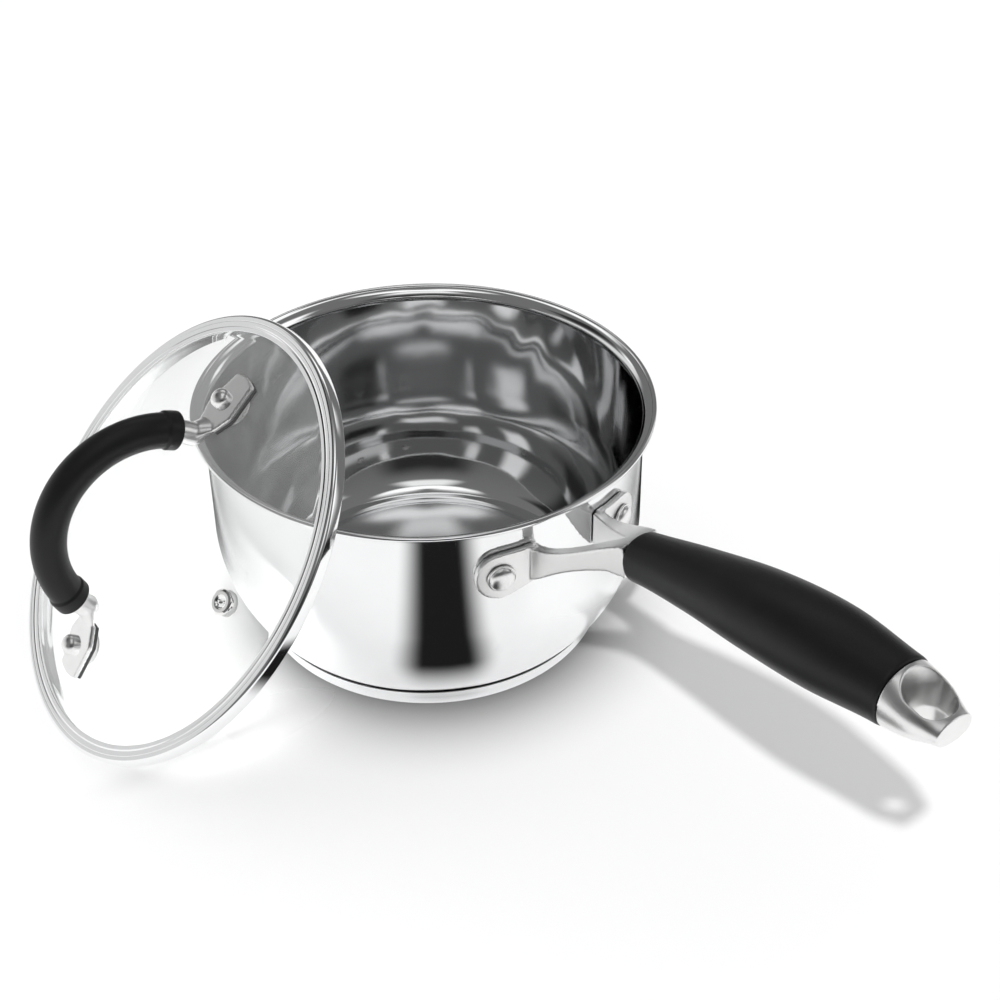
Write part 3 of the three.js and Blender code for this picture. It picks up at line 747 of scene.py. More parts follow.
ROD_RADIUS = 3.5 * MM
LOOP_STEP = 0.4 * MM           # the loop's front stands this far inside the grip's rear
LOOP_SAG = 0.25                # share of the loop's taper taken off its top only
GRIP_HALF_HEIGHTS = [h * MM for h in (8.7, 10.8, 13.3, 14, 11.7)]
GRIP_HALF_WIDTHS = [w * MM for w in (9.8, 12.4, 15.2, 15.8, 12.8)]


def grip_ring(line, t, shrink=0.0, shift=0.0):
    half_height = smooth_line(GRIP_HALF_HEIGHTS)(t) - shrink
    half_width = smooth_line(GRIP_HALF_WIDTHS)(t) - shrink
    centre = line.at(t) + line.along(t) * shift
    return oval_ring(centre, (0, half_width, 0), line.up(t) * half_height, 96, 2.2)


class SAUCEPAN_OT_grip(bpy.types.Operator):
    """Make the soft-touch grip"""

    bl_idname = "saucepan.grip"
    bl_label = "Grip"

    def execute(self, context):
        _, handle, _, finishes = settings()
        line = GripLine(handle)
        edge = 1.0 * MM
        turns = np.linspace(0, math.pi / 2, 7)
        rings = [grip_ring(line, 0, 3 * edge, 0)]
        rings += [grip_ring(line, 0, edge * (1 - math.sin(a)), edge * (1 - math.cos(a)))
                  for a in turns[:-1]]
        rings += [grip_ring(line, t) for t in np.linspace(0.012, 0.988, 110)]
        rings += [grip_ring(line, 1, edge * (1 - math.cos(a)), -edge * (1 - math.sin(a)))
                  for a in turns[1:]]
        rings += [grip_ring(line, 1, 3 * edge, 0)]
        made = lofted("soft_grip", rings, material("soft_touch_grip", soft_black, finishes.grip))
        settle(made, "pan", "soft_black_grip", "handle_grip")
        return {"FINISHED"}


def rod(name, radius, start, end, steps=48):
    """A closed round rod from one point to another."""
    start, end = Vector(start), Vector(end)
    way = end - start
    place = Matrix.Translation(start) @ way.to_track_quat("Z", "Y").to_matrix().to_4x4()
    return turned(name, [(0, 0), (radius, 0), (radius, way.length), (0, way.length)], steps, None, place)


class SAUCEPAN_OT_fork(bpy.types.Operator):
    """Make the steel fork: two riveted ears, two arms, the neck and the rod through the grip"""

    bl_idname = "saucepan.fork"
    bl_label = "Fork"

    def execute(self, context):
        pan, handle, _, finishes = settings()
        line = GripLine(handle)
        inner = pan.wall_radius + GAP
        fold_angle = handle.rivet_azimuth - handle.fold_offset / inner
        fold = (inner * math.cos(fold_angle), inner * math.sin(fold_angle))
        parts = [self.arms(handle, inner, fold, line)]
        parts += [self.ear(handle, inner, side) for side in (-1, 1)]
        rod_start, rod_end = line.start - line.axis * 4 * MM, line.end + line.axis * 3 * MM
        parts.append(rod("rod", ROD_RADIUS, rod_start, rod_end))
        made = merged(*parts)
        made.name = "steel_fork"
        cast(made, material("satin_handle_steel", satin_steel, finishes.satin), 0.5 * MM, 4)
        settle(made, "pan", "satin_steel", "handle_fork")
        return {"FINISHED"}

    def ear(self, handle, inner, side):
        """An ear is the part of a ring round the wall that its outline keeps."""
        outer = inner + handle.ear_thickness
        ring = turned("ear", [(inner, 40 * MM), (outer, 40 * MM), (outer, 99 * MM), (inner, 99 * MM)],
                      360, None, ring=True)
        radius, half = handle.ear_radius, handle.fold_height / 2
        corners = [(-handle.fold_offset - 2 * MM, handle.fold_rise + way * half) for way in (-1, 1)]
        meets = [math.atan2(y, x) % TURN - way * math.acos(radius / math.hypot(x, y))
                 for way, (x, y) in zip((-1, 1), corners)]
        outline = [corners[0], *arc(0, 0, radius, meets[0] - TURN, meets[1], 64), corners[1]]
        away = axes((0, side, 0), UP, (1, 0, 0))
        place = (Matrix.Translation((0, 0, handle.rivet_height))
                 @ Matrix.Rotation(side * handle.rivet_azimuth, 4, "Z") @ away)
        tool = prism("ear_tool", outline, inner - 12 * MM, inner + 18 * MM, place)
        return combine(ring, tool, "INTERSECT")

    def arms(self, handle, inner, fold, line):
        """The arms and neck are what a plan outline and a side outline have in common."""
        neck = handle.grip_start_x - GAP
        arm_inner = fold[1] - handle.arm_thickness
        against = math.sqrt(inner ** 2 - arm_inner ** 2)
        half_neck, thick = handle.neck_half_width, handle.ear_thickness

        def outside(way):
            return [(neck, way * half_neck), (neck - 12 * MM, way * (half_neck + 2 * MM)),
                    (fold[0] + 10 * MM, way * (fold[1] + 0.5 * MM)),
                    (fold[0] + thick, way * (fold[1] + 0.8 * MM))]

        crotch = (neck - 9 * MM, 0)
        low, high = outside(-1), outside(1)
        plan = [low[0], *bezier(*low), (fold[0], -fold[1]), (against, -arm_inner)]
        bend, throat = fold[0] + 9 * MM, neck - 15 * MM
        plan += bezier((against, -arm_inner), (bend, -arm_inner), (throat, -3 * MM), crotch)
        plan += bezier(crotch, (throat, 3 * MM), (bend, arm_inner), (against, arm_inner))
        plan += [(fold[0], fold[1]), high[3], *bezier(*high[::-1])]
        tall = prism("arms", plan, 40 * MM, 120 * MM)
        z, half = handle.rivet_height + handle.fold_rise, handle.fold_height / 2
        mid, half_tall = handle.grip_start_z, handle.neck_height / 2
        lower = [(fold[0] - 2 * MM, z - half), (fold[0] + 8 * MM, z - half), (fold[0] + 8 * MM, z + 1 * MM),
                 (neck - 8 * MM, mid - half_tall)]
        upper = [(neck - 1 * MM, mid + half_tall), (neck - 14 * MM, mid + 2 * MM),
                 (fold[0] + 9 * MM, z + half - 5 * MM), (fold[0] - 2 * MM, z + half)]
        under_grip = (neck + 2 * MM, mid - half_tall + 1 * MM)
        side = [lower[0], *bezier(*lower), under_grip, upper[0], *bezier(*upper)]
        wide = prism("side", side, -40 * MM, 40 * MM, axes((1, 0, 0), UP, (0, -1, 0)))
        arms = combine(tall, wide, "INTERSECT")
        front = line.start - line.along(0) * GAP
        clear = rod("clear", 60 * MM, front, front + line.along(0) * 200 * MM)
        return combine(arms, clear, "DIFFERENCE")


class SAUCEPAN_OT_loop(bpy.types.Operator):
    """Make the steel hanging loop with its scooped hole"""

    bl_idname = "saucepan.loop"
    bl_label = "Hanging loop"

    def execute(self, context):
        _, handle, _, finishes = settings()
        line = GripLine(handle)
        along, up = line.along(1), line.up(1)
        front = line.end + along * GAP
        half_height = smooth_line([GRIP_HALF_HEIGHTS[-1] - LOOP_STEP, 8.5 * MM, 4.6 * MM])
        half_width = smooth_line([GRIP_HALF_WIDTHS[-1] - LOOP_STEP, 11.5 * MM, 8 * MM])
        rings = []
        for t in np.linspace(0, 1, 48):
            drop = (GRIP_HALF_HEIGHTS[-1] - half_height(t)) * LOOP_SAG
            centre = front + along * handle.loop_length * t - up * drop
            rings.append(oval_ring(centre, (0, half_width(t), 0), up * half_height(t), 72, 2.2))
        made = lofted("steel_loop", rings, None)
        half, straight = handle.hole_width / 2, handle.hole_length - handle.hole_width
        end = front + along * (handle.loop_length - 3.5 * MM - half)
        frame_of_hole = axes(along, (0, 1, 0), up, end)
        slot = arc(0, 0, half, -math.pi / 2, math.pi / 2, 24)
        slot += arc(-straight, 0, half, math.pi / 2, 1.5 * math.pi, 24)
        made = combine(made, prism("hole", slot, -30 * MM, 30 * MM, frame_of_hole), "DIFFERENCE")
        wide = [(x * 1.35 + (2.2 if x > 0 else -1.2) * MM, y * 2.2) for x, y in slot]
        scoop = prism("scoop", slot, -3 * MM, 12 * MM, frame_of_hole, wide)
        made = combine(made, scoop, "DIFFERENCE")
        cast(made, material("satin_loop_steel", satin_steel, finishes.satin, 0.30), 0.35 * MM, 3)
        settle(made, "pan", "satin_steel", "hang_loop")
        return {"FINISHED"}


# ---------------------------------------------------------------- repeated turned fittings

def new_tree(name, kinds):
    """A node tree with inputs of those kinds and one geometry output, its net and its inputs."""
    tree = bpy.data.node_groups.new(name, "GeometryNodeTree")
    for word, kind in kinds.items():
        tree.interface.new_socket(word, in_out="INPUT", socket_type=f"NodeSocket{kind}")
    tree.interface.new_socket("Geometry", in_out="OUTPUT", socket_type="NodeSocketGeometry")
    net = Net(tree)
    given = tree.nodes.new("NodeGroupInput")
    return tree, net, [Socket(net, given.outputs[i]) for i in range(len(kinds))]


def close_tree(tree, net, shape, finish):
    """Makes the shape real, gives it its finish and sends it out of the tree."""
    real = net.node("GeometryNodeRealizeInstances", {}, [shape])
    dressed = net.node("GeometryNodeSetMaterial", {}, {"Geometry": real, "Material": finish})
    net.fill(tree.nodes.new("NodeGroupOutput"), [dressed])
    return tree


def turned_tree(name, profile, steps, closed):
    """A node tree that turns a profile and sets one piece on each point along its axis attribute."""
    tree, net, (points, radius, height, lowest, finish) = new_tree(name, {
        "Geometry": "Geometry", "Radius": "Float", "Height": "Float", "Lowest": "Float",
        "Finish": "Material"})
    profile = profile + profile[:1] if closed else profile
    widest = max(r for r, _ in profile)
    low, high = min(z for _, z in profile), max(z for _, z in profile)
    share = [i / (len(profile) - 1) for i in range(len(profile))]
    grid = net.node("GeometryNodeMeshGrid", {}, {
        "Size X": 1.0, "Size Y": 1.0, "Vertices X": steps + 1, "Vertices Y": len(profile),
    })
    x, y, _ = net.split(net.node("GeometryNodeInputPosition"))
    around, run = (x + 0.5) * TURN, y + 0.5
    reach = net.curve(run, [(s, r / widest) for s, (r, _) in zip(share, profile)]) * radius
    rise = net.curve(run, [(s, (z - low) / (high - low)) for s, (_, z) in zip(share, profile)])
    place = net.node("ShaderNodeCombineXYZ", {}, [
        reach * around.cos(), reach * around.sin(), rise * height + lowest])
    skin = net.node("GeometryNodeSetPosition", {}, {"Geometry": grid, "Position": place})
    skin = net.node("GeometryNodeMergeByDistance", {}, {"Geometry": skin, "Distance": 1e-6})
    axis = net.node("GeometryNodeInputNamedAttribute", {"data_type": "FLOAT_VECTOR"}, {"Name": "axis"})
    facing = net.node("FunctionNodeAlignRotationToVector", {"axis": "Z"}, {"Vector": axis})
    placed = net.node("GeometryNodeInstanceOnPoints", {}, {
        "Points": points, "Instance": skin, "Rotation": facing})
    return close_tree(tree, net, placed, finish)


def set_inputs(modifier, values):
    """Sets a modifier's inputs by their identifiers."""
    for item in modifier.node_group.interface.items_tree:
        if item.item_type == "SOCKET" and item.in_out == "INPUT" and item.name in values:
            modifier[item.identifier] = values[item.name]


def turned_fittings(name, profile, spots, finish, steps=64, closed=False):
    """Equal turned fittings, one at each spot's matrix, as one plain mesh."""
    made = placed_mesh(name, [spot.translation for spot in spots], [])
    lines = made.data.attributes.new("axis", "FLOAT_VECTOR", "POINT")
    for i, spot in enumerate(spots):
        lines.data[i].vector = spot.to_3x3() @ UP
    low, high = min(z for _, z in profile), max(z for _, z in profile)
    modifier = made.modifiers.new("fittings", "NODES")
    modifier.node_group = turned_tree(name, profile, steps, closed)
    set_inputs(modifier, {
        "Radius": max(r for r, _ in profile), "Height": high - low, "Lowest": low, "Finish": finish})
    baked(made)
    outwards(made, 1e-6)
    return made


def rivet_profile(head_radius, head_height, shank, inner_radius, inner_height, grab, groove=True):
    """From the inner head's crown over the shank to the outer head's crown."""
    inner = [(inner_radius * x, inner_height * y) for x, y in arc(0, 0, 1, -math.pi / 2, 0, 10)]
    inner[0] = (0, inner[0][1])
    head = [(head_radius, grab), (head_radius, grab + 0.16 * head_height)]
    if groove:
        head += [(head_radius * x, grab + head_height * y)
                 for x, y in ((0.97, 0.27), (0.91, 0.31), (0.87, 0.27), (0.85, 0.3))]
        crown, start = 0.84, 0.32
    else:
        crown, start = 1.0, 0.45
    for x, y in arc(0, 0, 1, 0.1, math.pi / 2, 14):
        head.append((head_radius * crown * x, grab + head_height * (start + (1 - start) * y)))
    head[-1] = (0, head[-1][1])
    return [*inner, (shank, 0), (shank, grab), *head]


class SAUCEPAN_OT_handle_rivets(bpy.types.Operator):
    """Make the two rivets that hold the fork to the pan"""

    bl_idname = "saucepan.handle_rivets"
    bl_label = "Handle rivets"

    def execute(self, context):
        pan, handle, _, finishes = settings()
        grab = handle.ear_thickness + pan.sheet + 3 * GAP
        profile = rivet_profile(handle.rivet_radius, handle.rivet_rise, 2.5 * MM, 4.5 * MM, 1.4 * MM, grab)
        finish = material("satin_rivet_steel", satin_steel, finishes.satin, 0.26)
        spots = []
        for side in (-1, 1):
            out = (Matrix.Rotation(side * handle.rivet_azimuth, 4, "Z")
                   @ Matrix.Translation((pan.wall_radius - pan.sheet - GAP, 0, handle.rivet_height))
                   @ Matrix.Rotation(math.pi / 2, 4, "Y"))
            spots.append(out)
        made = turned_fittings("handle_rivets", profile, spots, finish)
        settle(made, "pan", "satin_steel", "handle_rivet_left", "handle_rivet_right")
        return {"FINISHED"}


# ---------------------------------------------------------------- lid

FOOT_GAP = 0.2 * MM            # between the standing lid and the table
LEAN_ASIDE = -4.4 * MM         # the lid's middle lies this far off the line to the pan's axis
EDGE_OVERLAP = 4.3 * MM        # flat edge of the glass held inside the band
COLLAR_CLEARANCE = 1 * MM      # between the collar and the inside of the pan
FOOT_THICK = 2 * MM
PAD_THICK = 1 * MM
WASHER_THICK = 0.8 * MM
WASHER_RADIUS = 6.5 * MM
SHANK_RADIUS = 2 * MM
LIP_CORNER = 1.6 * MM          # outer corner of the band's lip


class LidShape:
    """The lid's section and the place where it leans. Its own +Z faces front and +Y uphill."""

    def __init__(self, lid, pan):
        self.lid = lid
        self.lip_inner = lid.radius - lid.lip_width
        self.glass_top = -lid.band_sheet - GAP
        self.glass_under = self.glass_top - lid.glass_thickness
        rise = lid.dome_height - self.glass_top
        self.dome_radius = (self.lip_inner ** 2 + rise ** 2) / (2 * rise)
        self.dome_centre = lid.dome_height - self.dome_radius
        self.half_angle = math.asin(self.lip_inner / self.dome_radius)
        self.glass_radius = self.lip_inner + EDGE_OVERLAP
        self.collar_radius = pan.wall_radius - pan.sheet - COLLAR_CLEARANCE
        self.band_back = self.glass_under - GAP
        self.place = self.leaning(pan)

    def leaning(self, pan):
        """The lid stands on the edge of its band and leans with its glass on the pan's rim."""
        lid = self.lid
        sin, cos = math.sin(lid.lean_tilt), math.cos(lid.lean_tilt)
        height = FOOT_GAP + lid.radius * sin - (self.band_back - lid.band_sheet) * cos
        ball_height = height + self.dome_centre * cos
        reach = self.dome_radius - lid.glass_thickness - GAP - pan.bead_radius
        rim_radius, rim_height = pan.rim_radius - pan.bead_radius, pan.height - pan.bead_radius
        ball = math.sqrt(reach ** 2 - (rim_height - ball_height) ** 2) - rim_radius
        distance = -self.dome_centre * sin - math.sqrt(ball ** 2 - LEAN_ASIDE ** 2)
        out = Vector((math.cos(lid.lean_azimuth), math.sin(lid.lean_azimuth), 0))
        across = Vector((-out.y, out.x, 0))
        front = out * sin + UP * cos
        uphill = front.cross(across)
        spot = out * distance + across * LEAN_ASIDE + UP * height
        return axes(across, uphill, front, spot) @ Matrix.Rotation(lid.lean_spin, 4, "Z")

    def spot(self, distance, turn, lift):
        """A frame on the dome: +Z square to the glass, +X away from the lid's middle."""
        tilt = math.asin(distance / self.dome_radius)
        reach = (self.dome_radius + lift) * math.sin(tilt)
        at = (reach * math.cos(turn), reach * math.sin(turn),
              self.dome_centre + (self.dome_radius + lift) * math.cos(tilt))
        return Matrix.Translation(at) @ Matrix.Rotation(turn, 4, "Z") @ Matrix.Rotation(tilt, 4, "Y")


class SAUCEPAN_OT_lid_glass(bpy.types.Operator):
    """Make the domed glass of the lid"""

    bl_idname = "saucepan.lid_glass"
    bl_label = "Lid glass"

    def execute(self, context):
        pan, _, lid, finishes = settings()
        shape = LidShape(lid, pan)
        flat, top = math.pi / 2 - shape.half_angle, math.pi / 2
        inner = arc(0, shape.dome_centre, shape.dome_radius - lid.glass_thickness, top, flat, 40)
        outer = arc(0, shape.dome_centre, shape.dome_radius, flat, top, 40)
        edge = eased([inner[-1], (shape.glass_radius, shape.glass_under),
                      (shape.glass_radius, shape.glass_top), outer[0]], 0.9 * MM, 5, closed=False)
        profile = [(0, inner[0][1]), *inner[1:-1], *edge, *outer[1:-1], (0, outer[-1][1])]
        finish = material("lid_glass_clear", clear_glass, finishes.glass)
        made = turned("glass_dome", profile, finishes.turned_steps, finish, shape.place)
        made.visible_shadow = False
        settle(made, "lid", "clear_glass", "lid_glass")
        return {"FINISHED"}


# Fine lines in the band's lip: how far across it in mm, and the share of their full depth.
LIP_LINES = ((1.6, 0), (1.9, 0.6), (2.2, 1), (2.5, 0.6), (2.8, 0), (4.0, 0), (4.2, 0.5), (4.4, 0))


class SAUCEPAN_OT_lid_band(bpy.types.Operator):
    """Make the steel band that holds the glass, with its collar"""

    bl_idname = "saucepan.lid_band"
    bl_label = "Lid band"

    def execute(self, context):
        pan, _, lid, finishes = settings()
        shape = LidShape(lid, pan)
        t, back = lid.band_sheet, shape.band_back
        corner = arc(lid.radius - LIP_CORNER, -LIP_CORNER, LIP_CORNER, math.pi / 2, 0, 10)
        profile = eased([
            (shape.lip_inner, -t), (shape.lip_inner, -0.1 * MM), (shape.lip_inner + 0.8 * MM, 0),
            *[(shape.lip_inner + across * MM, -0.2 * MM * dip) for across, dip in LIP_LINES],
            *corner, (lid.radius, back - t), (shape.collar_radius, back - t),
            (shape.collar_radius, -lid.collar_depth), (shape.collar_radius - t, -lid.collar_depth),
            (shape.collar_radius - t, back), (lid.radius - t, back), (lid.radius - t, -LIP_CORNER),
            (lid.radius - LIP_CORNER, -t),
        ], 0.22 * MM, 3)
        finish = material("polished_band_steel", mirror_steel, finishes.mirror, waves=0.05 * MM)
        made = turned("steel_band", profile, finishes.turned_steps, finish, shape.place, ring=True)
        settle(made, "lid", "mirror_steel", "lid_band")
        return {"FINISHED"}


def foot_outline():
    """The plate of a handle's foot; its +X points to the tip."""
    reach, inner, half, tip = 11 * MM, 5.5 * MM, 8.7 * MM, 12 * MM
    corner = (10.8 * MM, 6.3 * MM)
    curve = [(1 - t) ** 2 * np.array((corner[0], -corner[1]))
             + 2 * t * (1 - t) * np.array((2 * tip - corner[0], 0))
             + t * t * np.array(corner) for t in np.linspace(0, 1, 17)]
    side = [(-reach, -inner), (-reach / 3, -half)]
    return side + [tuple(p) for p in curve] + [(x, -y) for x, y in side[::-1]]


def arch_point(lid, turn, radius=None):
    """A point on the lid handle's middle line, at an angle from its top."""
    radius = lid.arch_radius if radius is None else radius
    return np.array((0, radius * math.sin(turn), lid.arch_centre + radius * math.cos(turn)))


class SAUCEPAN_OT_lid_bar(bpy.types.Operator):
    """Make the bent steel bar of the lid handle with its two feet"""

    bl_idname = "saucepan.lid_bar"
    bl_label = "Lid handle bar"

    def execute(self, context):
        pan, _, lid, finishes = settings()
        shape = LidShape(lid, pan)
        end, lift, thick = math.radians(86), 2 * GAP + PAD_THICK, FOOT_THICK
        rings = []
        for turn in np.linspace(-end, end, 90):
            out = (arch_point(lid, turn, 1) - arch_point(lid, 0, 0)) * lid.bar_radius
            rings.append(oval_ring(arch_point(lid, turn), (lid.bar_radius, 0, 0), out, 48))
        parts = [lofted("bar", rings, None)]
        for side in (1, -1):
            spot = shape.spot(lid.rivet_distance, side * math.pi / 2, lift)
            parts.append(prism("foot", foot_outline(), 0, thick, spot))
            inner = np.array(spot @ Vector((-10 * MM, 0, thick / 2)))
            bow = arch_point(lid, side * end * 0.97)
            way = bow - inner
            deep = np.array((0, way[2], -way[1])) / np.linalg.norm(way)
            ball = Vector(arch_point(lid, side * end))
            parts.append(turned("elbow", arc(0, 0, 0.8 * lid.bar_radius, -math.pi / 2, math.pi / 2, 24),
                                48, None, Matrix.Translation(ball)))
            web = []
            for t in np.linspace(0, 1, 12):
                width = (1 - t) * 5.5 * MM + t * lid.bar_radius
                depth = (1 - t) * 0.7 * thick + t * 0.85 * lid.bar_radius
                web.append(oval_ring(inner + way * t, (width, 0, 0), deep * depth, 48))
            parts.append(lofted("web", web, None))
        made = merged(*parts)
        made.name = "bent_bar"
        cast(made, material("satin_lid_steel", satin_steel, finishes.satin, 0.30), 0.4 * MM, 5)
        made.data.transform(shape.place)
        settle(made, "lid", "satin_steel", "lid_handle_bar")
        return {"FINISHED"}


def sleeve_tree():
    """A node tree that sweeps a sleeve with raised cuffs along an arc."""
    words = ("Arc radius", "Half angle", "Sleeve radius", "Cuff radius", "Cuff share", "Edge share")
    tree, net, (reach, half, sleeve, cuff, share, edge, finish) = new_tree(
        "sleeve", {**dict.fromkeys(words, "Float"), "Finish": "Material"})
    path = net.node("GeometryNodeCurveArc", {"mode": "RADIUS"}, {
        "Resolution": 420, "Radius": reach, "Start Angle": math.pi / 2 - half, "Sweep Angle": half * 2.0})
    along = net.node("GeometryNodeSplineParameter")
    inwards = along.least(1.0 - along)
    ratio = inwards / edge
    rounding = 1.0 - (1.0 - ratio.least(1.0)) ** 2.0
    round_edge = rounding ** 0.5
    step = inwards.between(share, share + 0.012)
    size = cuff + (sleeve - cuff) * step
    size = size - (1.0 - round_edge) * 1.6 * MM
    circle = net.node("GeometryNodeCurvePrimitiveCircle", {}, {"Resolution": 64, "Radius": 1.0})
    swept = net.node("GeometryNodeCurveToMesh", {}, {
        "Curve": path, "Profile Curve": circle, "Scale": size, "Fill Caps": True})
    return close_tree(tree, net, swept, finish)


class SAUCEPAN_OT_lid_sleeve(bpy.types.Operator):
    """Make the soft sleeve on the lid handle's bar"""

    bl_idname = "saucepan.lid_sleeve"
    bl_label = "Lid handle sleeve"

    def execute(self, context):
        pan, _, lid, finishes = settings()
        shape = LidShape(lid, pan)
        made = placed_mesh("soft_sleeve", [], [])
        modifier = made.modifiers.new("sleeve", "NODES")
        modifier.node_group = sleeve_tree()
        span = 2 * lid.sleeve_half_angle * lid.arch_radius
        set_inputs(modifier, {
            "Arc radius": lid.arch_radius, "Half angle": lid.sleeve_half_angle,
            "Sleeve radius": lid.sleeve_radius, "Cuff radius": lid.cuff_radius,
            "Cuff share": lid.cuff_length / span, "Edge share": 1.0 * MM / span,
            "Finish": material("soft_touch_sleeve", soft_black, finishes.grip)})
        baked(made)
        stand = axes((0, 1, 0), UP, (1, 0, 0), (0, 0, lid.arch_centre))
        made.data.transform(shape.place @ stand)
        outwards(made, 1e-6)
        settle(made, "lid", "soft_black_grip", "lid_handle_sleeve")
        return {"FINISHED"}


class SAUCEPAN_OT_lid_fittings(bpy.types.Operator):
    """Make the lid's rivets, washers and pads"""

    bl_idname = "saucepan.lid_fittings"
    bl_label = "Lid fittings"

    def execute(self, context):
        pan, _, lid, finishes = settings()
        shape = LidShape(lid, pan)
        under = -lid.glass_thickness - 2 * GAP - WASHER_THICK
        grab = FOOT_THICK + PAD_THICK + lid.glass_thickness + WASHER_THICK + 5 * GAP
        turns = {"upper": math.pi / 2, "lower": -math.pi / 2}
        finish = material("satin_rivet_steel", satin_steel, finishes.satin, 0.26)
        profile = rivet_profile(4 * MM, 5.5 * MM, SHANK_RADIUS, 4.5 * MM, 1.5 * MM, grab, groove=False)
        spots = [shape.place @ shape.spot(lid.rivet_distance, turn, under) for turn in turns.values()]
        rivets = turned_fittings("lid_rivets", profile, spots, finish)
        settle(rivets, "lid", "satin_steel", "lid_rivet_upper", "lid_rivet_lower")
        hole, edge = SHANK_RADIUS + GAP, WASHER_RADIUS
        section = eased([(hole, 0), (edge, 0), (edge, WASHER_THICK), (hole, WASHER_THICK)], 0.25 * MM, 3)
        spots = [shape.place @ shape.spot(lid.rivet_distance, turn, under + GAP)
                 for turn in turns.values()]
        washers = turned_fittings("lid_washers", section, spots, finish, closed=True)
        settle(washers, "lid", "satin_steel", "lid_washer_upper", "lid_washer_lower")
        pad = material("silicone_pads", silicone, finishes.silicone)
        for word, turn in turns.items():
            place = shape.place @ shape.spot(lid.rivet_distance, turn, GAP)
            made = prism(f"pad_{word}", foot_outline(), 0, PAD_THICK, place)
            ease = made.modifiers.new("edge", "BEVEL")
            ease.width, ease.segments, ease.limit_method = 0.25 * MM, 3, "ANGLE"
            baked(made)
            made.data.materials.append(pad)
            outwards(made)
            settle(made, "lid", "silicone_pad", f"lid_gasket_{word}")
        return {"FINISHED"}


class SAUCEPAN_OT_vent(bpy.types.Operator):
    """Make the steam vent's eyelet and its washer"""

    bl_idname = "saucepan.vent"
    bl_label = "Steam vent"

    def execute(self, context):
        pan, _, lid, finishes = settings()
        shape = LidShape(lid, pan)
        thick = 0.6 * MM
        under = -lid.glass_thickness - 2 * GAP - thick
        section = eased([
            (1.8 * MM, under - 0.5 * MM), (3.8 * MM, under - 0.5 * MM), (3.8 * MM, under),
            (2.8 * MM, under), (2.8 * MM, GAP), (4.9 * MM, GAP), (4.7 * MM, GAP + 0.7 * MM),
            (3.9 * MM, GAP + 1.1 * MM), (2.7 * MM, GAP + 1.1 * MM), (1.8 * MM, GAP + 0.5 * MM),
        ], 0.3 * MM, 3)
        finish = material("polished_eyelet_steel", mirror_steel, finishes.satin)
        place = shape.place @ shape.spot(lid.vent_distance, 0, 0)
        eyelet = turned_fittings("eyelet", section, [place], finish, 72, closed=True)
        # Painted shade: the bore's faces get a near-black material so the hole reads dark
        eyelet.data.materials.append(material("dark_bore", soft_black, (0.002, 0.002, 0.002)))
        inside = place.inverted()
        for face in eyelet.data.polygons:
            middle = inside @ face.center
            if math.hypot(middle.x, middle.y) < 2.35 * MM:
                face.material_index = 1
        settle(eyelet, "lid", "satin_steel", "vent_eyelet")
        top = -lid.glass_thickness - GAP
        hole, edge = 3.1 * MM, 4.9 * MM
        ring = eased([(hole, top - thick), (edge, top - thick), (edge, top), (hole, top)], 0.2 * MM, 3)
        finish = material("satin_rivet_steel", satin_steel, finishes.satin, 0.26)
        washer = turned_fittings("eyelet_washer", ring, [place], finish, closed=True)
        settle(washer, "lid", "satin_steel", "vent_washer")
        return {"FINISHED"}


# ---------------------------------------------------------------- stage

CARD_DISTANCE = 1.6            # of the reflector cards from the pan

def reflector(name, spot, size, shade, soft):
    """A soft-edged reflector seen only in reflections; spot gives its points from 0 to 1 each way."""
    columns, rows = size
    wide = columns + 1
    shares = [(i / columns, j / rows) for j in range(rows + 1) for i in range(wide)]
    corners = [j * wide + i for j in range(rows) for i in range(columns)]
    faces = [[a, a + 1, a + wide + 1, a + wide] for a in corners]
    made = placed_mesh(name, [spot(*share) for share in shares], faces)
    mesh = made.data
    chart = mesh.uv_layers.new(name="UVMap")
    for loop in mesh.loops:
        chart.data[loop.index].uv = shares[loop.vertex_index]
    finish, net = new_material(name)
    u, v, _ = net.split(net.node("ShaderNodeTexCoord", out="UV"))
    soft_sides, soft_ends = soft if isinstance(soft, tuple) else (soft, soft)
    across = u.least(1.0 - u).between(0.0, soft_sides)
    tall = v.least(1.0 - v).between(0.0, soft_ends)
    glow = net.node("ShaderNodeEmission", {}, {"Color": (shade, shade, shade, 1), "Strength": 1.0})
    clear = net.node("ShaderNodeBsdfTransparent")
    surfaced(finish, net, net.node("ShaderNodeMixShader", {}, [across * tall, clear, glow]))
    mesh.materials.append(finish)
    made.visible_camera = made.visible_diffuse = made.visible_shadow = False
    made.visible_transmission = made.visible_volume_scatter = False


def card(name, azimuth, low, high, spread, shade, soft):
    """A reflector on a ring round the object.

    Azimuth is measured like the camera's, low and high are elevations, and spread is half its
    width, all in degrees."""
    def spot(s, t):
        lift = math.radians(low + (high - low) * t)
        way = math.radians(azimuth - 90 + spread * (2 * s - 1))
        level = CARD_DISTANCE * math.cos(lift)
        return level * math.cos(way), level * math.sin(way), CARD_DISTANCE * math.sin(lift) + 0.05

    reflector(name, spot, (24, 12), shade, soft)


def floor_strip(name, azimuth, level, near, far, half_near, half_far, shade, soft, aside=0.0, bow=1.0):
    """A reflector that lies on the floor beside the pan.

    Higher levels lie over lower ones, and a bow below 1 rounds its sides."""
    way = math.radians(azimuth - 90)
    out = Vector((math.cos(way), math.sin(way), 0))
    side = Vector((-out.y, out.x, 0))

    def spot(s, t):
        across = aside + (2 * s - 1) * (half_near + (half_far - half_near) * t ** bow)
        return out * (near + (far - near) * t) + side * across + UP * 0.25 * MM * level

    reflector(name, spot, (12, 24), shade, soft)


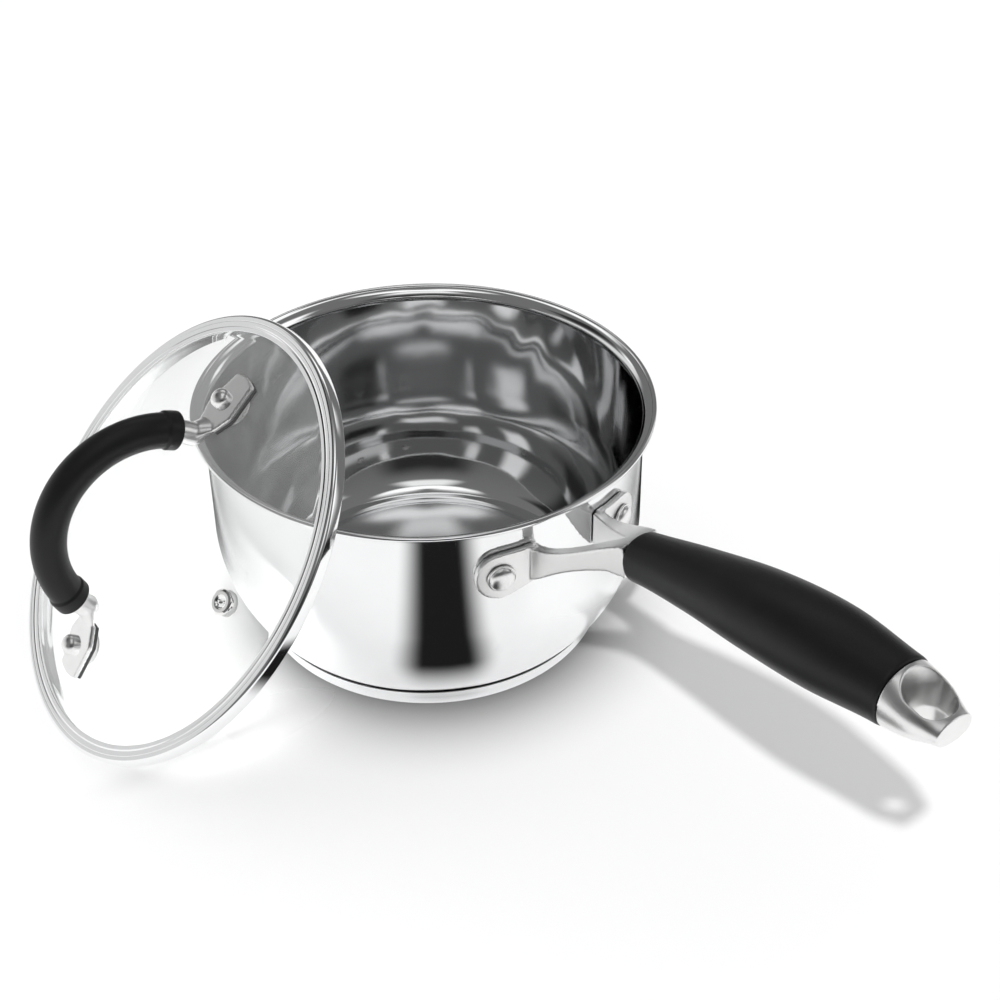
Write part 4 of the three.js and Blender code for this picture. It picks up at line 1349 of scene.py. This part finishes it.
def contact_shade(name, azimuth, level, middle, inner, outer, depth, turn=0.0):
    """A soft shade on the floor where a piece stands on it: an oval that is darkest inside.

    The middle and the half axes run to the right and away, as the camera sees them."""
    sides, rows = 96, 16
    points, faces = [(0, 0, 0)], []
    for j in range(rows + 1):
        t = j / rows
        for i in range(sides):
            way = TURN * i / sides
            points.append((math.cos(way) * (inner[0] + (outer[0] - inner[0]) * t),
                           math.sin(way) * (inner[1] + (outer[1] - inner[1]) * t), 0))
    faces += [[0, 1 + i, 1 + (i + 1) % sides] for i in range(sides)]
    for j in range(rows):
        a, b = 1 + j * sides, 1 + (j + 1) * sides
        faces += [[a + i, b + i, b + (i + 1) % sides, a + (i + 1) % sides] for i in range(sides)]
    made = placed_mesh(name, points, faces)
    fade = made.data.attributes.new("fade", "FLOAT", "POINT")
    for k in range(len(points)):
        fade.data[k].value = 1 - max(0, (k - 1) // sides) / rows
    across = Matrix.Rotation(math.radians(azimuth), 4, "Z")
    made.matrix_world = (across @ Matrix.Translation((*middle, 0.15 * MM * level))
                         @ Matrix.Rotation(math.radians(turn), 4, "Z"))
    finish, net = new_material(name)
    amount = net.node("ShaderNodeAttribute", {"attribute_name": "fade"}, out=2)
    clear = net.node("ShaderNodeBsdfTransparent")
    dark = net.node("ShaderNodeEmission", {}, {"Color": (0, 0, 0, 1), "Strength": 0.0})
    surfaced(finish, net, net.node("ShaderNodeMixShader", {}, [amount ** 2.0 * depth, clear, dark]))
    made.data.materials.append(finish)
    made.visible_diffuse = made.visible_glossy = made.visible_shadow = False


class SAUCEPAN_OT_stage(bpy.types.Operator):
    """Make the floor, the soft light, the reflectors and the camera"""

    bl_idname = "saucepan.stage"
    bl_label = "Stage"

    def execute(self, context):
        finishes = settings()[3]
        scene = context.scene
        self.floor(finishes)
        self.lights(scene, math.degrees(finishes.camera_azimuth))
        self.camera(scene, finishes.camera_azimuth)
        return {"FINISHED"}

    def floor(self, finishes):
        half = 6.0
        points = [(-half, -half, 0), (half, -half, 0), (half, half, 0), (-half, half, 0)]
        made = placed_mesh("floor", points, [[0, 1, 2, 3]])
        finish, net = new_material("white_paper")
        fibre = noise(net, object_place(net), 40.0, 3.0)
        surfaced(finish, net, {
            "Base Color": net.mix_colour(fibre, *shades(finishes.floor, 0.995, 1)),
            "Roughness": 0.9, "Specular IOR Level": 0.0})
        made.data.materials.append(finish)

    def lights(self, scene, facing):
        world = bpy.data.worlds.new("studio")
        scene.world = world
        world.use_nodes = True
        scene.view_settings.view_transform = "Standard"
        net = Net(world.node_tree)
        gloss = net.node("ShaderNodeLightPath", out=3)
        ground = world.node_tree.nodes["Background"]
        net.fill(ground, {"Color": (1, 1, 1, 1), "Strength": 0.72 - 0.56 * gloss})
        key = bpy.data.lights.new("key", "SUN")
        key.energy, key.angle = 1.75, math.radians(2.5)
        lamp = bpy.data.objects.new("key", key)
        scene.collection.objects.link(lamp)
        way, rise = math.radians(facing - 90 - 13), math.radians(55)
        level = math.cos(rise)
        towards = Vector((math.cos(way) * level, math.sin(way) * level, math.sin(rise)))
        lamp.rotation_euler = towards.to_track_quat("Z", "Y").to_euler()
        lamp.visible_glossy = False
        casters = bpy.data.collections.new("key_blockers")
        for name in ("steel_fork", "soft_grip", "steel_loop"):
            casters.objects.link(bpy.data.objects[name])
        lamp.light_linking.blocker_collection = casters
        for name, turn, low, high, spread, shade, soft in (
            ("overhead_near", 0, 72, 90, 180, 1.15, 0.3),
            ("overhead_front", 0, 46, 78, 36, 0.9, 0.3),
            ("window_right", 82, 4, 52, 20, 1.15, 0.3),
            ("window_left", -106, -8, 27, 42, 0.7, 0.2),
            ("dark_left", -106, 29, 54, 30, 0.02, 0.3),
            ("window_back", 180, 42, 62, 40, 1.1, 0.3),
            ("window_back_right", 130, 8, 40, 9, 1.0, 0.4),
            ("window_back_left", -134, 8, 40, 9, 1.0, 0.4),
            ("dark_front", 0, 4, 46, 40, 0.03, 0.3),
        ):
            card(name, facing + turn, low, high, spread, shade, soft)
        floor_strip("white_floor", facing + 70, 1, 0.07, 0.4, 0.08, 0.2, 1.05, 0.2)
        floor_strip("dark_floor", facing + 4, 2, 0.064, 0.28, 0.012, 0.074, 0.012, (0.32, 0.15), bow=0.5)
        back = facing + 180
        for side in (1, -1):
            floor_strip(f"grey_floor_{side}", back, 3, -0.09, 0.2, 0.05, 0.05, 0.3, 0.6, side * 0.14)
            floor_strip(f"edge_{side}", back, 4, -0.02, 0.2, 0.024, 0.024, 0.02, 0.35, side * 0.107)
        contact_shade("lid_shade", facing, 2, (-0.088, -0.085), (0.012, 0.001), (0.056, 0.015), 0.3, 31)
        contact_shade("pan_shade", facing, 1, (0, -0.008), (0.06, 0.055), (0.112, 0.104), 0.85)

    def camera(self, scene, azimuth):
        lens = bpy.data.cameras.new("camera")
        lens.lens, lens.sensor_width, lens.clip_start = 72, 36, 0.01
        made = bpy.data.objects.new("camera", lens)
        scene.collection.objects.link(made)
        yaw, pitch, roll = math.radians(2.53), math.radians(36.27), math.radians(-0.42)
        turn = Matrix.Rotation(azimuth, 3, "Z")
        level = math.cos(pitch)
        look = turn @ Vector((math.sin(yaw) * level, math.cos(yaw) * level, -math.sin(pitch)))
        right = look.cross(UP).normalized()
        up = right.cross(look)
        cos, sin = math.cos(roll), math.sin(roll)
        right, up = right * cos + up * sin, up * cos - right * sin
        spot = turn @ Vector((0, -650.5 * MM, 527.5 * MM))
        made.matrix_world = axes(right, up, -look, spot)
        scene.camera = made


# ---------------------------------------------------------------- panel and registration

OPERATORS = (
    SAUCEPAN_OT_pan_body, SAUCEPAN_OT_base, SAUCEPAN_OT_fork, SAUCEPAN_OT_grip,
    SAUCEPAN_OT_loop, SAUCEPAN_OT_handle_rivets, SAUCEPAN_OT_lid_glass, SAUCEPAN_OT_lid_band,
    SAUCEPAN_OT_lid_bar, SAUCEPAN_OT_lid_sleeve, SAUCEPAN_OT_lid_fittings, SAUCEPAN_OT_vent,
    SAUCEPAN_OT_stage,
)
GROUPS = {
    "saucepan_pan": SaucepanPanSizes,
    "saucepan_handle": SaucepanHandleSizes,
    "saucepan_lid": SaucepanLidSizes,
    "saucepan_finishes": SaucepanFinishes,
}


class SAUCEPAN_PT_panel(bpy.types.Panel):
    """Lists the pieces and their sizes"""

    bl_label = "Saucepan"
    bl_idname = "SAUCEPAN_PT_panel"
    bl_space_type = "VIEW_3D"
    bl_region_type = "UI"
    bl_category = "Saucepan"

    def draw(self, context):
        for group, kind in GROUPS.items():
            box = self.layout.box()
            for name in kind.__annotations__:
                box.prop(getattr(context.scene, group), name)
        for operator in OPERATORS:
            self.layout.operator(operator.bl_idname)


def register():
    for kind in (*GROUPS.values(), *OPERATORS, SAUCEPAN_PT_panel):
        bpy.utils.register_class(kind)
    for name, kind in GROUPS.items():
        setattr(bpy.types.Scene, name, PointerProperty(type=kind))


def unregister():
    for name in GROUPS:
        delattr(bpy.types.Scene, name)
    for kind in reversed((*GROUPS.values(), *OPERATORS, SAUCEPAN_PT_panel)):
        bpy.utils.unregister_class(kind)


def main():
    register()
    for operator in OPERATORS:
        family, word = operator.bl_idname.split(".")
        getattr(getattr(bpy.ops, family), word)()


if __name__ == "__main__":
    main()
